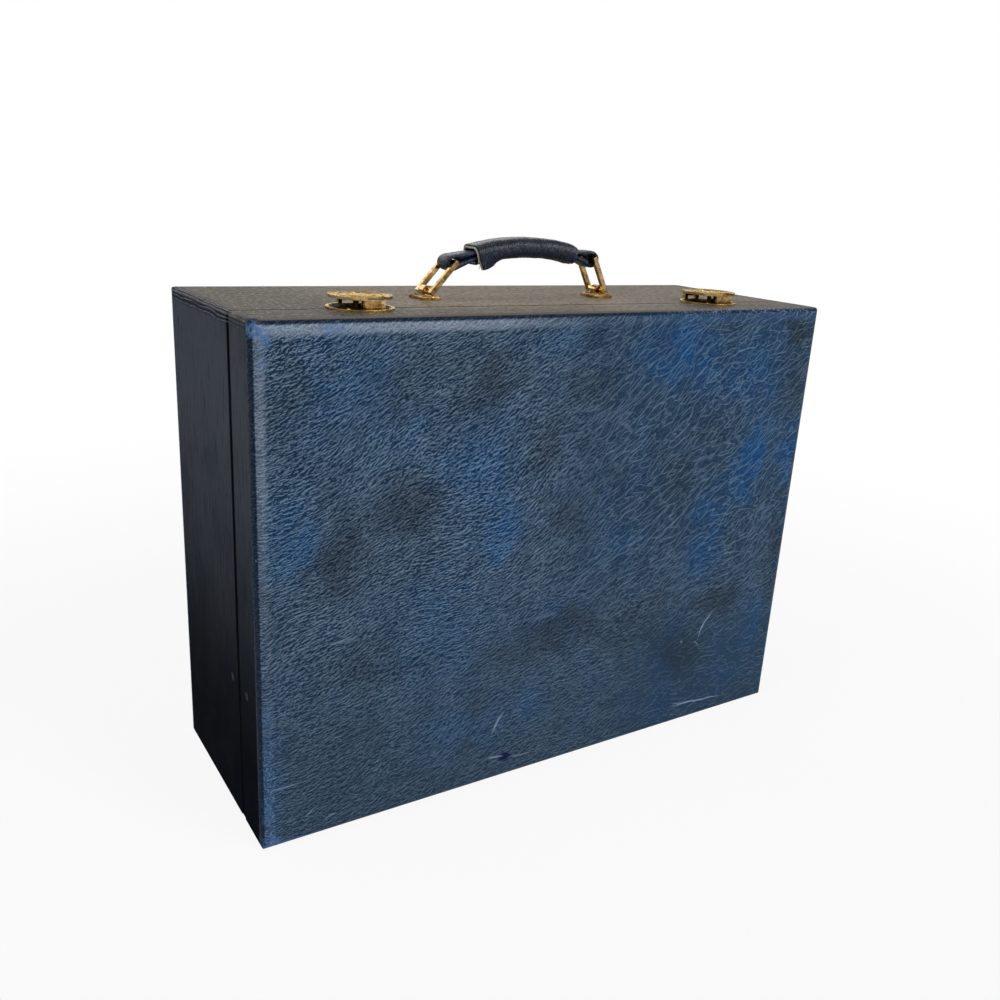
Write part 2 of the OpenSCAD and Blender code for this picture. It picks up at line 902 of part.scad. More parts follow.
module lock_plate_base(side) {
    color("gold")
        difference() {
            at_lock(side) {
                lock_disc(1);
                for (s = [-1, 1])
                    translate([s * (knuckle_w / 2 + slide_gap + lug_w / 2), pin_back, 0])
                        difference() {
                            union() {
                                block(-lug_w / 2, lug_w / 2, -knuckle_r, knuckle_r, lock_t - eps, pin_z);
                                translate([0, 0, pin_z])
                                    bar_x(knuckle_r, -lug_w / 2, lug_w / 2);
                            }
                            translate([0, 0, pin_z])
                                bar_x(hasp_pin_r + rivet_fit, -lug_w, lug_w);
                        }
            }
            lock_holes(lock_rivet_back);
        }
}

module lock_plate_lid(side) {
    color("gold")
        difference() {
            at_lock(side) {
                lock_disc(-1);
                translate([guide_x, guide_y, lock_t - eps])
                    cylinder(r = guide_r, h = slide_gap + bolt_h / 2 + slide_gap + eps, $fn = 24);
                translate([guide_x, guide_y, lock_t + 2 * slide_gap + bolt_h / 2])
                    cylinder(r = guide_r + 0.8, h = 0.6, $fn = 24);
            }
            lock_holes(-lock_rivet_front);
        }
}

module lock_rivet(side, u, dy) {
    translate([side * lock_x + u * lock_rivet_x, seam_y + dy, lock_z + lock_t]) {
        cylinder(r1 = post_head_r, r2 = post_head_r * 0.6, h = post_head_h, $fn = 24);
        translate([0, 0, -lock_t - shell + 0.6])
            cylinder(r = post_rivet_r, h = lock_t + shell - 0.6 + eps, $fn = 24);
    }
}

module lock_rivets(dy) {
    color("gold")
        for (s = [-1, 1])
            for (u = [-1, 1])
                lock_rivet(s, u, dy);
}

module hasp(side) {
    lug_end = knuckle_w / 2 + 2 * slide_gap + lug_w;
    room_y = pin_back - knuckle_r - slide_gap - 0.4;
    room_z = hasp_top + 2;
    web_d = 6;
    notch_left = catch_left - slide_gap;
    notch_right = catch_right + slide_gap;
    notch_back = catch_back + 0.8;
    color("gold")
        at_lock(side)
            difference() {
                union() {
                    translate([0, 0, hasp_z])
                        cylinder(r = hasp_r, h = hasp_t, $fn = 96);
                    for (r = [hasp_r, hasp_r * 0.74, hasp_r * 0.48])
                        translate([0, 0, hasp_top - eps])
                            difference() {
                                cylinder(r = r, h = rib_h + eps, $fn = 96);
                                translate([0, 0, -1])
                                    cylinder(r = r - rib_w, h = rib_h + 2, $fn = 96);
                            }
                    translate([0, pin_back, pin_z])
                        bar_x(knuckle_r, -knuckle_w / 2, knuckle_w / 2);
                    block(-knuckle_w / 2, knuckle_w / 2, pin_back - web_d, pin_back, pin_z, pin_z + knuckle_r);
                    translate([tongue_x, tongue_y, lock_t + slide_gap])
                        cube([tongue_w, tongue_d, hasp_z + eps - lock_t - slide_gap]);
                }
                for (s = [-1, 1])
                    side_block(s, knuckle_w / 2, lug_end, room_y, lock_r + 1, pin_z - 3, room_z);
                block(-knuckle_w, knuckle_w, pin_back, lock_r + 1, pin_z + knuckle_r, room_z);
                block(notch_left, notch_right, -lock_r, notch_back, hasp_z - 1, room_z);
                translate([0, pin_back, pin_z])
                    bar_x(hasp_pin_r + run_fit, -lock_r, lock_r);
            }
}

module hasp_pin(side) {
    reach = knuckle_w / 2 + slide_gap + lug_w;
    color("silver")
        at_lock(side)
            translate([0, pin_back, pin_z])
                bar_x(hasp_pin_r, -reach, reach);
}

module catch_slide(side) {
    z0 = lock_t + 0.1;
    web_h = bolt_h / 2 + slide_gap - 0.1;
    front = catch_back - catch_d;
    web_end = guide_y + guide_r + 1.6;
    bolt_left = tongue_x + tongue_w + 0.6;
    bolt_y = tongue_y + tongue_d + 0.6;
    top = z0 + catch_h + 1;
    bolt_end = guide_x - guide_r - 1.8;
    color("gold")
        at_lock(side)
            difference() {
                union() {
                    difference() {
                        block(catch_left, catch_right, front, catch_back, z0, z0 + catch_h);
                        block(catch_left - 1, catch_left + catch_r, front - 1, front + catch_r, 0, top);
                    }
                    translate([catch_left + catch_r, front + catch_r, z0])
                        cylinder(r = catch_r, h = catch_h, $fn = 48);
                    block(bolt_end - 0.1, catch_right - 0.6, catch_back - eps, web_end, z0, z0 + web_h);
                    block(bolt_left, bolt_end, bolt_y, web_end, z0, z0 + bolt_h);
                }
                slot_room();
            }
}

// The slot of the catch that runs over the guide post.
module slot_room() {
    for (x = [guide_x, guide_x + catch_travel])
        translate([x, guide_y, 0])
            cylinder(r = guide_r + run_fit, h = bolt_h + 2, $fn = 24);
    half = guide_r + run_fit;
    block(guide_x, guide_x + catch_travel, guide_y - half, guide_y + half, 0, bolt_h + 2);
}

base_board_top();
base_board_bottom();
base_board_side(-1);  // base_board_left
base_board_side(1);  // base_board_right
base_board_back();
lid_board_top();
lid_board_bottom();
lid_board_side(-1);  // lid_board_left
lid_board_side(1);  // lid_board_right
lid_board_front();
base_leather(0, 1);  // base_leather_top
base_leather(0, -1);  // base_leather_bottom
base_leather(-1, 0);  // base_leather_left
base_leather(1, 0);  // base_leather_right
base_leather_back();
lid_leather(0, 1);  // lid_leather_top
lid_leather(0, -1);  // lid_leather_bottom
lid_leather(-1, 0);  // lid_leather_left
lid_leather(1, 0);  // lid_leather_right
lid_leather_front();
base_lining();
lid_lining();
rim_lip();
hinge_leaf(1);  // hinge_leaf_base
hinge_leaf(-1);  // hinge_leaf_lid
hinge_pin();
hinge_screws(1);  // hinge_screws_base
hinge_screws(-1);  // hinge_screws_lid
stay_rivets_base();
stay_rivets_lid();
stay_spacers_base();
stay_spacers_lid();
stay_link_base(-1);  // stay_link_base_left
stay_link_base(1);  // stay_link_base_right
stay_link_lid(-1);  // stay_link_lid_left
stay_link_lid(1);  // stay_link_lid_right
elbow_rivet(-1);  // elbow_rivet_left
elbow_rivet(1);  // elbow_rivet_right
handle_plate(post_left);  // handle_plate_left
handle_plate(post_right);  // handle_plate_right
handle_rivets();
ring(post_left, lean_left);  // ring_left
ring(post_right, -lean_right);  // ring_right
grip_strap();
grip_sleeve();
grip_edge();
lock_plate_base(-1);  // lock_plate_base_left
lock_plate_base(1);  // lock_plate_base_right
lock_plate_lid(-1);  // lock_plate_lid_left
lock_plate_lid(1);  // lock_plate_lid_right
lock_rivets(lock_rivet_back);  // lock_rivets_base
lock_rivets(-lock_rivet_front);  // lock_rivets_lid
hasp(-1);  // hasp_left
hasp(1);  // hasp_right
hasp_pin(-1);  // hasp_pin_left
hasp_pin(1);  // hasp_pin_right
catch_slide(-1);  // catch_left_lock
catch_slide(1);  // catch_right_lock
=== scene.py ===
"""Looks of a worn blue hard briefcase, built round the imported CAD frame. Metres, row frame."""

import math

import bpy
import numpy as np
from mathutils import Matrix, Vector, noise

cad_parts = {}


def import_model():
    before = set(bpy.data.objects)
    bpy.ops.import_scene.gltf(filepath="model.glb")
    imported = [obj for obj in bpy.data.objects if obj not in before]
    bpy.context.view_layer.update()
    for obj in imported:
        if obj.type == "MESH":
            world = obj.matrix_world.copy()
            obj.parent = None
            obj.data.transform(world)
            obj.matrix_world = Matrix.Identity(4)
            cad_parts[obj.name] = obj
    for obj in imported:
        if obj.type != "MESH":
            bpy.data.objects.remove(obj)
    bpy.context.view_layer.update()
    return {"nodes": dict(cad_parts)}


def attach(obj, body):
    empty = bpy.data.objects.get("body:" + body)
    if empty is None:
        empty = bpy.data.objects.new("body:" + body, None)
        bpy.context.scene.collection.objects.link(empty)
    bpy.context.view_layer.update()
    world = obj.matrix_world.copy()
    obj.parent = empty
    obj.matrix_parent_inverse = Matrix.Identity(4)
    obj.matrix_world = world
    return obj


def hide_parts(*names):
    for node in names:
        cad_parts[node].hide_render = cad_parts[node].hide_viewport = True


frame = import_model()
nodes = frame["nodes"]
MM = 0.001

# Camera at the photograph's viewing angle. The rows of VIEW are the image's right, down and
# forward directions. EYE is in mm.
VIEW = (
    (0.84667563, -0.52934102, 0.05420752),
    (-0.11900221, -0.28766001, -0.95031058),
    (0.51863171, 0.79815399, -0.30654748),
)
EYE = (-377.913, -571.566, 400.117)
SENSOR, LENS = 36.0, 34.3788

# The closed case in mm, as in the part: half width, height, seam, and the locks' middle.
HALF_W, TOP = 220.0, 330.0
SEAM_Y = -42.0
LOCK_X = 140.5

# The handle in mm, as in the part: pivots of the two loops, and the middle of the grip's arc.
LOOP_LEFT = (-58.172, 353.742)
LOOP_RIGHT = (56.75, 357.438)
ARC_X, ARC_Z = 4.0, 186.0
# The ring bar's half diagonal, and the clearance of each loop round it.
BAR_R, PLAY_LEFT, PLAY_RIGHT = 2.26, 0.25, 0.75
# The strap: radii of its two layers, ends in degrees, half width, half thickness, and the gap
# between the layers.
STRAP_UP, STRAP_LOW = 180.2, 176.7
STRAP_FROM, STRAP_TO = -15.2, 12.6
STRAP_HALF_W, STRAP_HALF_T, STRAP_GAP = 7.5, 1.55, 0.12
# The sleeve: radius of its middle, width, height, corner radius, ends in degrees, thickness, and
# the loose sheet's reach under it beyond its lower front corner.
SLEEVE_MID, SLEEVE_W, SLEEVE_H, SLEEVE_R = 178.45, 19.5, 11.1, 4.9
SLEEVE_FROM, SLEEVE_TO = -14.4, 11.9
SLEEVE_THICK, LOOSE = 1.3, 1.8
# Steps round the loose sheet's bend and along its reach, and points round the other corners.
BEND_STEPS, LOOSE_STEPS, CORNER_POINTS = 8, 5, 8
# How far the loose sheet has turned under the sleeve, at degrees from the sleeve's left end.
TURN_AT = (0.0, 1.7, 3.85, 5.07, 6.5, 7.4)
TURN = (0.0, 0.2, 0.5, 0.75, 0.95, 1.0)


def srgb(r, g, b):
    """A linear colour from values of 0 to 255."""

    def linear(v):
        v = v / 255
        return v / 12.92 if v <= 0.04045 else ((v + 0.055) / 1.055) ** 2.4

    return (linear(r), linear(g), linear(b), 1.0)


def palette(**colours):
    return {name: srgb(*values) for name, values in colours.items()}


class Graph:
    """A node tree with short calls. Most calls return an output socket."""

    def __init__(self, tree):
        self.tree = tree
        self.tree.nodes.clear()

    def make(self, kind, inputs=None, **settings):
        """A new node. Each input takes a value or another node's output."""
        made = self.tree.nodes.new(kind)
        for key, value in settings.items():
            setattr(made, key, value)
        for key, value in (inputs or {}).items():
            socket = made.inputs[key]
            if isinstance(value, bpy.types.NodeSocket):
                self.tree.links.new(value, socket)
            else:
                socket.default_value = value
        return made

    def node(self, kind, inputs=None, out=0, **settings):
        return self.make(kind, inputs, **settings).outputs[out]

    def math(self, operation, first, *others):
        """An operation on one value, or on the first with each of the others in turn."""
        if not others:
            return self.node("ShaderNodeMath", {0: first}, operation=operation)
        for other in others:
            first = self.node("ShaderNodeMath", {0: first, 1: other}, operation=operation)
        return first

    def add(self, *values):
        return self.math("ADD", *values)

    def minus(self, a, b):
        return self.math("SUBTRACT", a, b)

    def times(self, *values):
        return self.math("MULTIPLY", *values)

    def most(self, *values):
        return self.math("MAXIMUM", *values)

    def least(self, *values):
        return self.math("MINIMUM", *values)

    def absolute(self, value):
        return self.math("ABSOLUTE", value)

    def vec(self, operation, *vectors):
        """A vector operation. A length or dot product comes back as a number."""
        out = "Value" if operation in ("LENGTH", "DOT_PRODUCT") else 0
        inputs = dict(enumerate(vectors))
        return self.node("ShaderNodeVectorMath", inputs, out, operation=operation)

    def scaled(self, vector, by):
        return self.node("ShaderNodeVectorMath", {0: vector, "Scale": by}, operation="SCALE")

    def span(self, value, low, high, to_low=0.0, to_high=1.0):
        """A smooth step of value from low to high."""
        inputs = {"Value": value, "From Min": low, "From Max": high}
        inputs.update({"To Min": to_low, "To Max": to_high})
        return self.node("ShaderNodeMapRange", inputs, interpolation_type="SMOOTHSTEP")

    def mix(self, factor, a, b):
        return self.node("ShaderNodeMix", {0: factor, 6: a, 7: b}, out=2, data_type="RGBA")

    def noise(self, vector, scale, detail=2.0, rough=0.5, out=0):
        inputs = {"Vector": vector, "Scale": scale, "Detail": detail, "Roughness": rough}
        return self.node("ShaderNodeTexNoise", inputs, out)

    def cells(self, vector):
        """Distance to the nearest edge between cells of about unit size."""
        inputs = {"Vector": vector, "Scale": 1.0, "Randomness": 1.0}
        return self.node("ShaderNodeTexVoronoi", inputs, feature="DISTANCE_TO_EDGE")

    def place(self, vector, at=(0, 0, 0), turn=(0, 0, 0), size=(1, 1, 1)):
        """Coordinates about a point, turned by degrees, and divided by a size."""
        turn = [math.radians(t) for t in turn]
        inputs = {"Vector": vector, "Location": at, "Rotation": turn, "Scale": size}
        return self.node("ShaderNodeMapping", inputs, vector_type="TEXTURE")

    def split(self, vector):
        return tuple(self.make("ShaderNodeSeparateXYZ", {0: vector}).outputs)

    def shake(self, vector, scale, amount, detail=1.0):
        """Coordinates pushed about by noise, by up to half the amount in each direction."""
        push = self.noise(vector, scale, detail, out="Color")
        push = self.vec("SUBTRACT", push, (0.5, 0.5, 0.5))
        return self.vec("ADD", vector, self.scaled(push, amount))

    def blobs(self, vector, spots, grown=1.0):
        """Sum of soft round spots: middle x and z, half sizes along x and z, and strength.
        No mapping nodes, of which many at once overflow the render engine's stack."""
        total = None
        for x, z, rx, rz, strength in spots:
            rx, rz = rx * grown, rz * grown
            near = self.vec("MULTIPLY_ADD", vector, (1 / rx, 0, 1 / rz), (-x / rx, 0, -z / rz))
            spot = self.span(self.vec("LENGTH", near), 1.25, 0.1, 0.0, strength)
            total = spot if total is None else self.add(total, spot)
        return total

    def strokes(self, vector, marks):
        """Sum of thin marks: middle x and z, half length, half width, slope in degrees, bend,
        and strength."""
        total = None
        for x, z, long, thin, slope, bend, strength in marks:
            c, s = math.cos(math.radians(slope)), math.sin(math.radians(slope))
            along = self.vec("DOT_PRODUCT", vector, (c / long, 0, s / long))
            along = self.add(along, -(x * c + z * s) / long)
            across = self.vec("DOT_PRODUCT", vector, (-s / thin, 0, c / thin))
            across = self.add(across, (x * s - z * c) / thin)
            across = self.add(across, self.times(along, along, bend / thin))
            near = self.math("SQRT", self.add(self.times(along, along), self.times(across, across)))
            mark = self.span(near, 1.2, 0.5, 0.0, strength)
            total = mark if total is None else self.add(total, mark)
        return total

    def crease(self, vector, at, turn, size):
        """Fine wavy lines of one thickness, where a stretched noise crosses its middle value.
        How fast it changes there is read off half a millimetre away."""
        beside = (at[0] - 0.3, 0, at[2] + 0.45)
        level, level_by = (
            self.noise(self.place(vector, spot, (0, turn, 0), size), 1.0, 1.0, 0.4)
            for spot in (at, beside)
        )
        step = self.absolute(self.minus(level_by, level))
        off = self.absolute(self.minus(level, 0.5))
        return self.span(self.minus(off, self.times(step, 0.45)), 0.006, -0.006)

    def bump(self, height, strength, distance, normal=None):
        inputs = {"Height": height, "Strength": strength, "Distance": distance}
        if normal is not None:
            inputs["Normal"] = normal
        return self.node("ShaderNodeBump", inputs)

    def bevel(self):
        """The normal with edges rounded by 0.4 mm."""
        return self.node("ShaderNodeBevel", {"Radius": 0.4 * MM}, samples=4)


def material(name, build):
    """A material whose Principled BSDF takes what build(graph, coordinates in mm) returns."""
    made = bpy.data.materials.new(name)
    made.use_nodes = True
    graph = Graph(made.node_tree)
    where = graph.scaled(graph.node("ShaderNodeTexCoord", out="Object"), 1 / MM)
    shader = graph.node("ShaderNodeBsdfPrincipled", build(graph, where))
    graph.make("ShaderNodeOutputMaterial", {"Surface": shader})
    return made


def matt(base, rough, normal):
    return {"Base Color": base, "Roughness": rough, "Normal": normal}


def leather(base, rough, specular, normal):
    return {**matt(base, rough, normal), "Specular IOR Level": specular}


def metal(base, rough, normal=None):
    made = {"Base Color": base, "Metallic": 1.0, "Roughness": rough}
    return made if normal is None else {**made, "Normal": normal}


# Blue leather of the front and back. Patches: middle x and z, half sizes along x and z, strength.
BRIGHT = [
    (-160, 295, 24, 30, 0.55), (-125, 260, 28, 18, 0.45), (-70, 235, 28, 38, 0.7),
    (-56, 187, 17, 20, 1.0), (-200, 210, 18, 30, 0.9), (78, 303, 34, 22, 1.0),
    (125, 285, 38, 26, 0.45), (170, 280, 28, 42, 0.6), (162, 212, 18, 28, 1.35),
    (203, 217, 13, 22, 0.8), (125, 140, 20, 22, 0.8), (130, 176, 20, 26, 0.5),
    (-25, 55, 16, 16, 0.8), (-55, 48, 12, 26, 0.5), (-85, 50, 32, 20, 0.5),
    (190, 72, 14, 34, 0.7), (100, 32, 12, 32, 0.6), (-213, 45, 9, 44, 0.8),
    (-24, 314, 22, 12, 0.5), (40, 166, 32, 16, 0.3), (-95, 125, 46, 36, 0.4),
    (160, 38, 20, 26, 0.4),
]
DARK = [
    (-195, 280, 22, 26, 0.45), (-72, 287, 24, 26, 0.75), (-122, 214, 26, 20, 0.8),
    (-170, 190, 24, 32, 0.55), (-157, 115, 32, 22, 0.5), (-27, 246, 14, 22, 0.7),
    (12, 285, 30, 24, 0.55), (-5, 110, 32, 24, 0.95), (-45, 98, 24, 16, 0.4),
    (60, 95, 48, 32, 0.45), (115, 64, 24, 24, 0.9), (152, 106, 28, 18, 0.95),
    (200, 314, 22, 14, 0.85), (203, 270, 16, 30, 0.5), (207, 128, 14, 42, 0.7),
    (92, 204, 22, 28, 0.45), (-170, 58, 46, 26, 0.35), (60, 40, 26, 20, 0.3),
    (25, 205, 40, 30, 0.35), (-10, 190, 16, 14, 0.4),
]
WORN_CORNERS = [
    (-220, 325, 6, 4, 1.0), (-215.5, 323, 5, 3.6, 1.3), (-211.5, 319, 3.6, 4, 0.9),
    (-174, 323.5, 9, 4, 0.8), (-214.5, 309, 2.4, 11, 0.4), (-214, 5, 7, 6, 1.7),
    (-201, 2, 16, 3.2, 1.3), (-216, 24, 3, 14, 0.6), (-215.5, 96, 3, 9, 0.6),
]
STAINS = [(-44, 17.5, 6.5, 3.6, 1.6)]
# Scratches: middle x and z, half length, half width, slope in degrees, bend, strength.
SCRATCHES = [
    (139, 85, 13, 0.9, 58, 2.5, 0.8), (133, 68, 5, 0.5, -42, 0.5, 0.5),
    (140, 15.5, 28, 0.9, -4, 1.0, 1.0), (122, 17.5, 9, 0.7, -16, 0.0, 0.5),
    (-52, 47, 9, 1.0, 60, 1.8, 0.85), (-52, 19.5, 7, 1.0, -12, 0.0, 0.9),
    (-30, 15.3, 11, 0.7, -3, 0.0, 0.55), (40, 252, 9, 1.6, -28, 0.6, 0.2),
    (-17, 122, 11, 2.2, 4, 1.2, 0.2), (-167, 135, 10, 1.3, 0, 0.4, 0.25),
    (-101, 92, 7, 0.8, 50, 0.5, 0.25), (-116, 257, 3, 1.4, 20, 0.6, 0.3),
    (-105, 193, 2, 2, 80, 0, 0.4), (-206, 44, 10, 0.6, 2, 0.0, 0.7),
    (-210, 62, 7, 0.5, 6, 0.0, 0.5), (-176, 13, 5, 0.8, 15, 0.3, 0.5),
    (-190, 20, 3, 0.7, 40, 0, 0.5), (117, 73, 1.2, 1.2, 0, 0, 0.6),
    (-105, 240, 3, 0.7, 30, 0, 0.35),
]
BLUE = palette(
    deep=(36, 66, 95), plain=(50, 84, 116), dark_patch=(42, 51, 63), bright_patch=(16, 86, 152),
    # Next: low; two light line colours, partly painted highlights on the ridges; and the painted
    # shade of the ridges' far sides and dark pores.
    low=(60, 84, 108), line=(150, 174, 198), bright_line=(118, 172, 214), dark_side=(13, 32, 54),
    # worn: a painted highlight along the rounded top and left edges, partly wear.
    worn=(172, 188, 210), turned_edge=(24, 34, 56), top_rim=(118, 110, 102),
    blue_edge=(44, 92, 150), corner=(112, 158, 214), corner_dark=(44, 76, 146),
    nick=(140, 178, 218), fleck=(170, 184, 200), stain=(22, 26, 92), scratch=(160, 182, 212),
)
# Slope and size of the ridges, and the small step from which the painted highlight and shade on
# each side of a ridge are told.
RIDGE_TURN, RIDGE_SIZE, RIDGE_STEP = (0, -33, 0), (4.0, 3.0, 1.4), (-0.24, 0, 0.38)


def ridges(g, p, x, z):
    """The grain's height; its light lines, partly a painted highlight on each ridge's lit side; and
    its dark sides, a painted shade on each ridge's other side, with dark pores.
    """
    # The slope falls from the top to the bottom.
    lower = g.times(g.times(x, 0.3), g.add(1.0, g.times(z, -1.0 / TOP)))
    flow = g.vec("ADD", p, g.node("ShaderNodeCombineXYZ", {2: lower}))
    flow = g.shake(flow, 0.007, 38.0)
    wavy = g.shake(flow, 0.16, 1.3, 2.0)
    # The upper right has wide creases, the lower right is smooth.
    right = g.span(g.add(x, g.times(g.noise(p, 0.02), 60.0)), -10.0, 75.0)
    right = g.times(right, g.span(z, 70.0, 165.0))

    # The noise here and a small step away: their difference gives each ridge a painted highlight on
    # one side and a painted shade on the other.
    height = g.noise(g.place(wavy, turn=RIDGE_TURN, size=RIDGE_SIZE), 1.0, 2.2, 0.55)
    beside = g.noise(g.place(wavy, RIDGE_STEP, RIDGE_TURN, RIDGE_SIZE), 1.0, 2.2, 0.55)
    slope = g.minus(beside, height)
    smooth = g.span(g.add(x, g.times(g.noise(p, 0.03), 60.0)), 60.0, 130.0)
    smooth = g.times(smooth, g.span(z, 118.0, 62.0))
    strength = g.times(g.add(1.0, g.times(smooth, -0.75)), g.span(z, 20.0, 170.0, 0.6, 1.0))
    # Painted highlight on each ridge's lit side, and painted shade on its other side.
    painted_highlight_side = g.times(g.span(slope, 0.025, 0.08), strength)
    dark_side = g.times(g.span(slope, -0.01, -0.07), strength)

    steep = g.crease(flow, (0, 0, 0), -43, (16.0, 6.0, 5.6))
    flat = g.crease(flow, (40, 0, 9), -25, (14.0, 6.0, 5.2))
    flat = g.times(flat, g.span(right, 0.0, 1.0, 0.55, 1.0))
    creases = g.most(g.times(steep, right), flat)

    pores = g.noise(g.place(p, turn=RIDGE_TURN, size=(1.7, 1.8, 1.0)), 1.0, 2.0, 0.6)
    specks = g.times(g.span(pores, 0.55, 0.68), strength)
    # Light lines: painted highlights on the ridges' lit sides, light creases and light specks.
    lines = g.most(
        g.times(painted_highlight_side, g.add(0.85, g.times(right, -0.6))),
        g.times(creases, g.add(0.85, g.times(right, -0.16))),
        g.times(specks, g.add(0.6, g.times(right, -0.35))),
    )
    # Painted shade on the ridges' far sides, and dark pores.
    dark_side = g.most(
        g.times(dark_side, g.add(1.0, g.times(right, -0.4))),
        g.times(g.span(pores, 0.46, 0.34), g.times(strength, 0.95)),
    )
    return height, lines, dark_side


def left_band(g, x, start, full):
    """A band along the front's left edge, up to where the leather turns round it."""
    return g.times(g.span(x, start, full), g.span(x, -218.7, -217.8))


def edges_wear_and_highlight(g, p, where, base, lines):
    """The front's edges: a dark turned edge, a painted highlight band inside it, partly wear, and
    light-blue wear.
    """
    x, y, z = where
    grain = g.span(g.noise(g.place(p, size=(0.8, 1.0, 2.4)), 1.0, 2.0), 0.38, 0.66)
    patchy = g.span(g.noise(p, 0.06, 4.0, 0.65), 0.36, 0.62)
    half_patchy = g.times(patchy, 0.5)

    # A painted highlight band, partly wear, along the top, which fades to the right, and a thinner
    # one at the left, which fades downwards.
    band_top = g.times(g.span(z, 319.5, 323.5), g.span(z, 327.6, 326.2))
    fade = g.span(x, 20.0, -110.0, 0.08, 1.0)
    highlight_and_wear_grain = g.add(0.38, g.most(g.times(grain, 0.45), g.times(lines, 0.7)))
    top_highlight_and_wear = g.times(band_top, fade, highlight_and_wear_grain)
    left_highlight_and_wear = g.times(left_band(g, x, -211.5, -215.0), g.span(z, 110.0, 320.0, 0.12, 0.85))
    left_highlight_and_wear = g.times(left_highlight_and_wear, g.times(highlight_and_wear_grain, g.add(0.5, half_patchy)))
    # Painted highlight along the rounded top and left edges, partly wear.
    base = g.mix(g.least(g.most(top_highlight_and_wear, left_highlight_and_wear), 0.85), base, BLUE["worn"])

    # The turned edge, and a rubbed rim where it meets the top.
    turned = g.times(g.span(x, -217.9, -218.7), g.span(y, -60.0, -76.0))
    turned = g.most(g.span(z, 326.8, 327.8), turned)
    base = g.mix(g.times(turned, g.add(0.75, g.times(grain, 0.2))), base, BLUE["turned_edge"])
    top_rim = g.times(g.span(z, 328.9, 329.5), g.span(x, -216.0, -213.0))
    base = g.mix(top_rim, base, BLUE["top_rim"])

    # Bluer edges at the right, along the right half of the top, and at the lower left.
    blue_edge = g.most(
        g.times(g.span(x, 216.5, 218.0), 0.6),
        g.times(band_top, g.span(x, 20.0, 120.0, 0.0, 0.5)),
        g.times(left_band(g, x, -212.0, -215.0), g.span(z, 130.0, 60.0, 0.0, 0.5)),
    )
    base = g.mix(g.times(blue_edge, g.add(0.35, half_patchy)), base, BLUE["blue_edge"])

    # Frayed light-blue corners.
    corner = g.blobs(g.shake(p, 0.24, 8.0, 3.0), WORN_CORNERS)
    corner = g.times(corner, g.span(g.noise(p, 0.34, 3.0, 0.7), 0.4, 0.56, 0.05, 1.0))
    patch = g.mix(g.times(grain, 0.6), BLUE["corner"], BLUE["corner_dark"])
    base = g.mix(g.least(corner, 0.85), base, patch)

    # Nicks along the rims.
    rim = g.most(
        g.span(z, 5.0, 1.5),
        g.times(g.span(x, 217.5, 219.2), 0.8),
        g.times(left_band(g, x, -211.0, -214.5), g.span(z, 110.0, 50.0)),
        g.times(g.span(z, 326.0, 328.5), g.span(x, 40.0, 110.0)),
    )
    nicks = g.span(g.noise(g.place(p, size=(1.4, 3.0, 1.4)), 1.0, 3.0, 0.7), 0.52, 0.62)
    return g.mix(g.times(rim, nicks, 0.85), base, BLUE["nick"])


def blue_leather(g, p):
    """Pebbled leather with bright and dark patches, worn edges, scratches and a stain."""
    x, y, z = g.split(p)
    height, lines, dark_side = ridges(g, p, x, z)

    soft = g.shake(p, 0.03, 34.0, 3.0)
    cloud = g.noise(p, 0.016, 4.0, 0.62)
    bright = g.add(g.blobs(soft, BRIGHT, 1.2), g.span(cloud, 0.5, 0.78, 0.0, 0.5))
    dark = g.add(g.blobs(soft, DARK, 1.15), g.span(cloud, 0.46, 0.25, 0.0, 0.5))
    smoke = g.noise(p, 0.05, 5.0, 0.65)
    bright = g.times(bright, g.span(smoke, 0.3, 0.62, 0.45, 1.0))

    base = g.mix(g.span(smoke, 0.3, 0.7), BLUE["deep"], BLUE["plain"])
    base = g.mix(g.least(dark, 0.92), base, BLUE["dark_patch"])
    base = g.mix(g.least(g.times(bright, 0.9), 0.95), base, BLUE["bright_patch"])
    base = g.mix(g.span(z, 150.0, 10.0, 0.0, 0.6), base, BLUE["low"])
    line = g.mix(g.least(g.times(bright, 0.5), 0.7), BLUE["line"], BLUE["bright_line"])
    # Painted shade on the ridges' far sides, and dark pores.
    base = g.mix(g.times(dark_side, 0.6), base, BLUE["dark_side"])
    clear = g.times(g.span(smoke, 0.25, 0.7, 0.62, 0.95), g.span(dark, 0.0, 1.0, 1.0, 0.55))
    # Light lines, partly painted highlights on the ridges.
    base = g.mix(g.times(lines, clear), base, line)

    base = edges_wear_and_highlight(g, p, (x, y, z), base, lines)
    fleck = g.span(g.noise(p, 0.45, 1.0), 0.745, 0.8)
    base = g.mix(g.times(fleck, 0.5), base, BLUE["fleck"])

    fine = g.shake(p, 0.12, 3.0, 2.0)
    scratch = g.strokes(fine, SCRATCHES)
    scratch = g.times(scratch, g.span(g.noise(p, 0.5, 2.0), 0.25, 0.5, 0.5, 1.0))
    base = g.mix(g.least(g.blobs(fine, STAINS), 0.9), base, BLUE["stain"])
    on_front = g.span(y, -60.0, -74.5)
    base = g.mix(g.times(g.least(scratch, 1.0), on_front), base, BLUE["scratch"])

    height = g.add(g.times(height, 2.2), g.times(g.noise(p, 1.3, 3.0, 0.6), 0.35))
    rough = g.add(g.span(smoke, 0.3, 0.7, 0.46, 0.6), g.times(lines, -0.06))
    return leather(base, rough, 0.05, g.bump(height, 0.9, 0.9 * MM))


